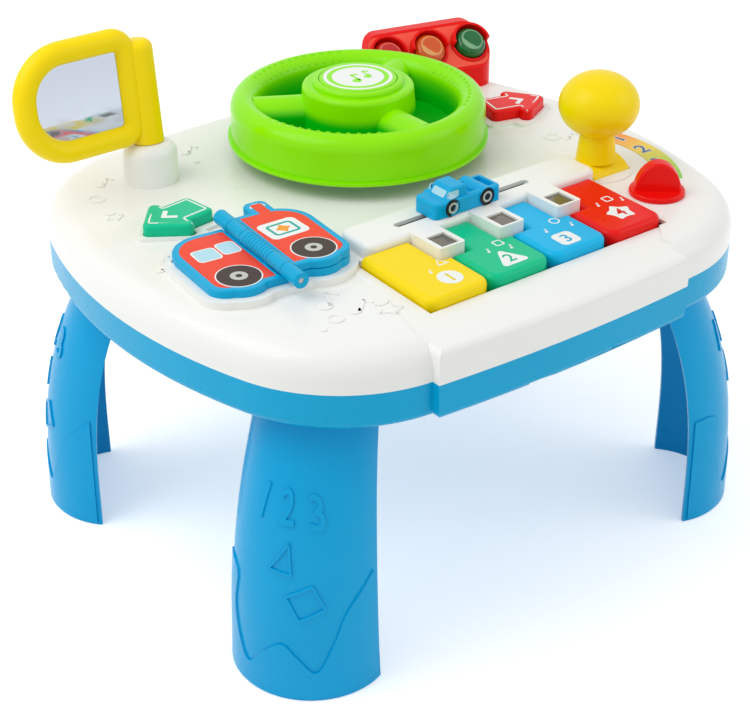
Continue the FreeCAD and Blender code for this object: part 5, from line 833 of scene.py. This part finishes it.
class TABLE_OT_wheel_details(bpy.types.Operator):
    """Grip bumps on the wheel's rim and the print on its horn"""
    bl_idname = "table.wheel_details"
    bl_label = "Wheel details"

    def execute(self, context):
        count = reliefs().rim_ribs
        at = flat_at(*WHEEL_CENTRE)
        bumps = []
        for group in GRIP_GROUPS:
            for index in range(count):
                angle = group + GRIP_SPREAD * (index / (count - 1) - 0.5)
                x = GRIP_REACH * math.cos(math.radians(angle))
                y = GRIP_REACH * math.sin(math.radians(angle))
                bump = round_corners(flat_shape([(-3.4, -1.3), (3.4, -1.3), (3.4, 1.3), (-3.4, 1.3)]), 1.2, 4)
                bumps.append(shifted(bump, x, y, angle))
        grips = laid(joined(*bumps), at, "steering_wheel", UP, 0.0007, 0.0012)
        tops = [edge for edge in grips.edges if edge.calc_face_angle(0) > 0.9
                and all(face.normal.z > -0.9 for face in edge.link_faces)]
        bmesh.ops.bevel(grips, geom=tops, offset=0.0004, segments=2, profile=0.5, affect="EDGES", material=-1)
        settle("wheel_grip_bumps", grips, "lime_plastic", "wheel")
        printed("horn_ring", annulus(19.6, 21.8), at, "horn_button", "white_ink", "horn")
        printed("horn_disc", disc(16.4), at, "horn_button", "white_ink", "horn")
        notes = joined(shifted(small_note(2.3), -4.6, -5.2), shifted(small_note(2.0), 5.2, -3.4))
        printed("horn_notes", notes, at, "horn_button", "lime_plastic", "horn", extra=INK_STEP)
        return {"FINISHED"}


class TABLE_OT_dial_numbers(bpy.types.Operator):
    """Plain numbers on the dial beside the gear lever"""
    bl_idname = "table.dial_numbers"
    bl_label = "Dial numbers"

    def execute(self, context):
        for index, place in enumerate(((173.5, -23.5, 12.0), (173.5, -45.5, -6.0), (166.5, -66.0, -22.0))):
            number = str(index + 1)
            printed(f"dial_number_edge_{number}", figure(number, 12.2, 0.05), flat_at(*place), "gear_dial",
                    "white_ink", "table")
            printed(f"dial_number_{number}", figure(number, 11.0), flat_at(*place), "gear_dial", "figure_ink",
                    "table", extra=INK_STEP)
        return {"FINISHED"}


def stood(x, y, z, out):
    """The place of an upright print at a point of the sketch, facing out."""
    out = Vector(out).normalized()
    right = Vector((-out.y, out.x, 0.0)).normalized()
    up = out.cross(right)
    turn = Matrix((right, up, out)).transposed().to_4x4()
    return Matrix.Translation(spot(x, y, z)) @ turn


class TABLE_OT_car_trim(bpy.types.Operator):
    """Tyres and windows on the sliding car"""
    bl_idname = "table.car_trim"
    bl_label = "Car trim"

    def execute(self, context):
        for side, y, way in CAR_SIDES:
            out = (0, way, 0)
            for count, x in enumerate(CAR_AXLES):
                at = stood(x, y, CAR_FLOOR_Z + 5.0, out)
                name = f"car_{side}_tyre_{count + 1}"
                printed(name, disc(5.4, 32), at, "slider_car", "tyre_black", "car_slider", out, 0.3)
                printed(name + "_rim", annulus(2.2, 3.4, 32), at, "slider_car", "grey_ink", "car_slider", out,
                        0.45)
            pane = stood(1.5, y, CAR_FLOOR_Z + 12.2, out)
            printed(f"car_{side}_window", square(8.5, 4.2, 1.0), pane, "slider_car", "glass_ink", "car_slider",
                    (0, way, 0.1))
        ahead = (-1, 0, 0.5)
        screen = stood(-3.0, CAR_MIDDLE_Y, CAR_FLOOR_Z + 12.4, ahead)
        printed("car_windscreen", square(11.0, 4.4, 1.0), screen, "slider_car", "glass_ink", "car_slider",
                ahead)
        return {"FINISHED"}


class TABLE_OT_lamp_discs(bpy.types.Operator):
    """Paler milky tops inside the rims of the three lamps"""
    bl_idname = "table.lamp_discs"
    bl_label = "Lamp discs"

    def execute(self, context):
        slope = Vector((0, -math.sin(LIGHT_SLOPE), math.cos(LIGHT_SLOPE)))
        out = Matrix.Rotation(LIGHT_TURN, 3, "Z") @ slope
        for colour in ("red", "amber", "green"):
            lamp = f"lamp_{colour}"
            low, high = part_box(lamp)
            at = stood(0, 0, 0, out)
            at.translation = (low + high) / 2
            printed(f"{lamp}_disc", disc(7.6, 40), at, lamp, f"lens_pale_{colour}", "table", out, 0.1)
        return {"FINISHED"}


def flowing(points, steps=7):
    """A smooth line through points."""
    line = []
    for index in range(len(points) - 1):
        before, start = points[max(index - 1, 0)], points[index]
        end, after = points[index + 1], points[min(index + 2, len(points) - 1)]
        for step in range(steps):
            t = step / steps
            line.append(tuple(0.5 * (2 * b + (c - a) * t + (2 * a - 5 * b + 4 * c - d) * t * t
                                     + (3 * b - a - 3 * c + d) * t ** 3)
                              for a, b, c, d in zip(before, start, end, after)))
    return line + [points[-1]]


LEG_REACH = 0.1
SUNK = 0.0006  # how deep a leg's reliefs start inside it, in metres


def wrapped(bm, leg, lift, depth):
    """Wraps a flat shape round a leg: across the shape is round the leg, up the shape is up the leg."""
    sx, sy = LEGS[leg]
    axis = spot(OUTLINE_CENTRE[0] + sx * LEG_FOOT[0], OUTLINE_CENTRE[1] + sy * LEG_FOOT[1])
    facing = math.atan2(sy * math.sin(LEG_FACING), sx * math.cos(LEG_FACING))
    tree = surface_tree(f"leg_{leg}")
    ways = {}
    lost = []
    for vert in bm.verts:
        angle = facing + vert.co.x / (LEG_ROUND * MM)
        out = Vector((math.cos(angle), math.sin(angle), 0.0))
        start = Vector((axis.x, axis.y, vert.co.y)) + out * LEG_REACH
        found = tree.ray_cast(start, -out, LEG_REACH)
        if found[0] is None:
            lost.append(vert)
            continue
        vert.co = found[0] + out * lift
        ways[vert] = out
    bmesh.ops.delete(bm, geom=lost, context="VERTS")
    bm.normal_update()
    for face in bm.faces:
        if face.normal.dot(ways[face.verts[0]]) < 0:
            face.normal_flip()
    inward = {tuple(round(part, 7) for part in vert.co): ways[vert] for vert in bm.verts}
    grown = bmesh.ops.extrude_face_region(bm, geom=bm.faces[:], use_keep_orig=True)
    for item in grown["geom"]:
        if isinstance(item, bmesh.types.BMVert):
            item.co = item.co - inward[tuple(round(part, 7) for part in item.co)] * depth
    bmesh.ops.recalc_face_normals(bm, faces=bm.faces)
    return bm


def around(theta):
    """Millimetres round a leg for an angle in degrees."""
    return math.radians(theta) * LEG_ROUND


class TABLE_OT_leg_reliefs(bpy.types.Operator):
    """Raised numbers, outlined shapes and a wavy sleeve on every leg"""
    bl_idname = "table.leg_reliefs"
    bl_label = "Leg reliefs"

    def execute(self, context):
        r = reliefs()
        wave = flowing([(-86, 73), (-70, 74), (-58, 68), (-60, 45), (-41, 17), (-20, 30), (-2, 38), (12, 30),
                        (29, 20), (44, 38), (58, 58), (86, 76)])
        edge = [(around(theta), z) for theta, z in wave]
        for leg in LEGS:
            sleeve = refine(flat_shape(edge + [(around(86), 1.5), (around(-86), 1.5)]), 5.0)
            sleeve = wrapped(sleeve, leg, r.leg_panel, r.leg_panel + SUNK)
            settle(f"leg_{leg}_sleeve", sleeve, "blue_legs", "table")
            marks = []
            for count, (theta, z) in enumerate(((-39, 121), (-2, 121), (38, 119))):
                marks.append(shifted(refine(figure(str(count + 1), 20.0), 3.0), around(theta), z))
            for corners in (((-20, 84), (8, 82), (4, 103)), ((0, 70), (14, 54), (40, 62), (28, 78))):
                shape = round_corners(flat_shape([(around(theta), z) for theta, z in corners]), 2.0)
                marks.append(refine(outline_only(shape, 1.5), 3.0))
            raised = wrapped(joined(*marks), leg, r.leg_relief, r.leg_relief + SUNK)
            settle(f"leg_{leg}_marks", raised, "blue_legs", "table")
        return {"FINISHED"}


TOP_TURN = -38.0


class TABLE_OT_top_reliefs(bpy.types.Operator):
    """Small raised shapes and notes on the flat of the casing"""
    bl_idname = "table.top_reliefs"
    bl_label = "Top reliefs"

    def execute(self, context):
        r = reliefs()
        shapes = (
            ("front_notes",
             joined(shifted(small_note(3.4), -8, 2, 12), shifted(small_note(3.0), 8, -3, -8),
                    shifted(annulus(3.4, 4.8, 28), -2, -12)), -107.0, -98.0),
            ("front_star", outline_only(star(9.0, 5.4, 5, 1.2), 1.4), -86.0, -114.0),
            ("front_dot", disc(2.0, 20), -128.0, -112.0),
            ("left_notes", joined(shifted(small_note(2.2), -4, 0, 10), shifted(annulus(2.2, 3.4, 24), 5, 2)),
             -157.0, -4.0),
            ("back_ring", annulus(4.0, 5.6, 28), -140.0, 102.0),
            ("back_note", small_note(2.4), -128.0, 118.0),
            ("side_star", outline_only(star(6.4, 3.8, 5, 0.9), 1.1), -144.0, 74.0),
            ("wheel_note", small_note(2.4), -60.0, 128.0),
            ("wheel_dot", disc(2.0, 20), -62.0, 112.0),
            ("right_ring", joined(annulus(4.0, 5.6, 28), shifted(small_note(2.0), 9, -2, -12)), 142.0, 4.0),
        )
        for name, shape, x, y in shapes:
            raised = laid(refine(shape, 3.0), flat_at(x, y, TOP_TURN), "top_shell", UP, r.top_relief,
                          r.top_relief + 0.0004)
            settle(f"top_{name}", raised, "white_casing", "table")
        return {"FINISHED"}


class TABLE_OT_stage(bpy.types.Operator):
    """Sets the camera, the soft lamps and the pale floor"""
    bl_idname = "table.stage"
    bl_label = "Stage"

    def execute(self, context):
        s = context.scene.table_stage
        floor = bmesh.new()
        bmesh.ops.create_grid(floor, x_segments=2, y_segments=2, size=6.0)
        bmesh.ops.translate(floor, vec=(0, 0, CAD_BOX[0].z), verts=floor.verts)
        mesh = bpy.data.meshes.new("floor")
        floor.to_mesh(mesh)
        floor.free()
        mesh.materials.append(FINISHES["floor_paper"])
        ground = bpy.data.objects.new("floor", mesh)
        context.scene.collection.objects.link(ground)
        lens = bpy.data.cameras.new("camera")
        lens.lens = s.focal
        lens.sensor_width = 36.0
        lens.clip_start = 0.05
        camera = bpy.data.objects.new("camera", lens)
        camera.location = s.place
        camera.rotation_euler = (s.tilt, 0.0, s.turn)
        context.scene.collection.objects.link(camera)
        context.scene.camera = camera
        aim = Vector((0, 0, 0.16))
        for name, power, size, place in (("key_lamp", s.key, 0.9, (-0.75, 0.25, 1.15)),
                                         ("fill_lamp", s.fill, 0.8, (0.9, -0.9, 0.9))):
            light = bpy.data.lights.new(name, "AREA")
            light.energy = power
            light.size = size
            lamp = bpy.data.objects.new(name, light)
            lamp.location = place
            lamp.rotation_euler = (aim - Vector(place)).to_track_quat("-Z", "Y").to_euler()
            context.scene.collection.objects.link(lamp)
        world = bpy.data.worlds.new("studio")
        world.use_nodes = True
        tree = world.node_tree
        back = tree.nodes["Background"]
        back.inputs["Color"].default_value = (*tone(255, 255, 255), 1.0)
        spread = node(tree, "ShaderNodeMapRange", -300, 0)
        tree.links.new(background_rays(tree, -800, 0), spread.inputs["Value"])
        spread.inputs["To Min"].default_value = s.sky
        spread.inputs["To Max"].default_value = 1.0
        tree.links.new(spread.outputs["Result"], back.inputs["Strength"])
        context.scene.world = world
        context.scene.view_settings.view_transform = "Standard"
        return {"FINISHED"}


class TABLE_PT_panel(bpy.types.Panel):
    """The table's sizes, colours and pieces"""
    bl_label = "Activity table"
    bl_idname = "TABLE_PT_panel"
    bl_space_type = "VIEW_3D"
    bl_region_type = "UI"
    bl_category = "Table"

    def draw(self, context):
        for group in ("table_stage", "table_colours", "table_reliefs"):
            box = self.layout.box()
            settings = getattr(context.scene, group)
            for name in settings.__annotations__:
                box.prop(settings, name)
        for piece in PIECES:
            self.layout.operator(piece.bl_idname)


PIECES = (
    TABLE_OT_finishes,
    TABLE_OT_wheel_details,
    TABLE_OT_key_prints,
    TABLE_OT_arrow_prints,
    TABLE_OT_book_prints,
    TABLE_OT_dial_numbers,
    TABLE_OT_car_trim,
    TABLE_OT_lamp_discs,
    TABLE_OT_leg_reliefs,
    TABLE_OT_top_reliefs,
    TABLE_OT_stage,
)
GROUPS_OF_SETTINGS = {"table_colours": TableColours, "table_reliefs": TableReliefs, "table_stage": TableStage}
CLASSES = (*GROUPS_OF_SETTINGS.values(), *PIECES, TABLE_PT_panel)


def register():
    for made in CLASSES:
        bpy.utils.register_class(made)
    for name, made in GROUPS_OF_SETTINGS.items():
        setattr(bpy.types.Scene, name, PointerProperty(type=made))


def unregister():
    for name in GROUPS_OF_SETTINGS:
        delattr(bpy.types.Scene, name)
    for made in reversed(CLASSES):
        bpy.utils.unregister_class(made)


def main():
    register()
    for piece in PIECES:
        family, name = piece.bl_idname.split(".")
        getattr(getattr(bpy.ops, family), name)()


if __name__ == "__main__":
    main()
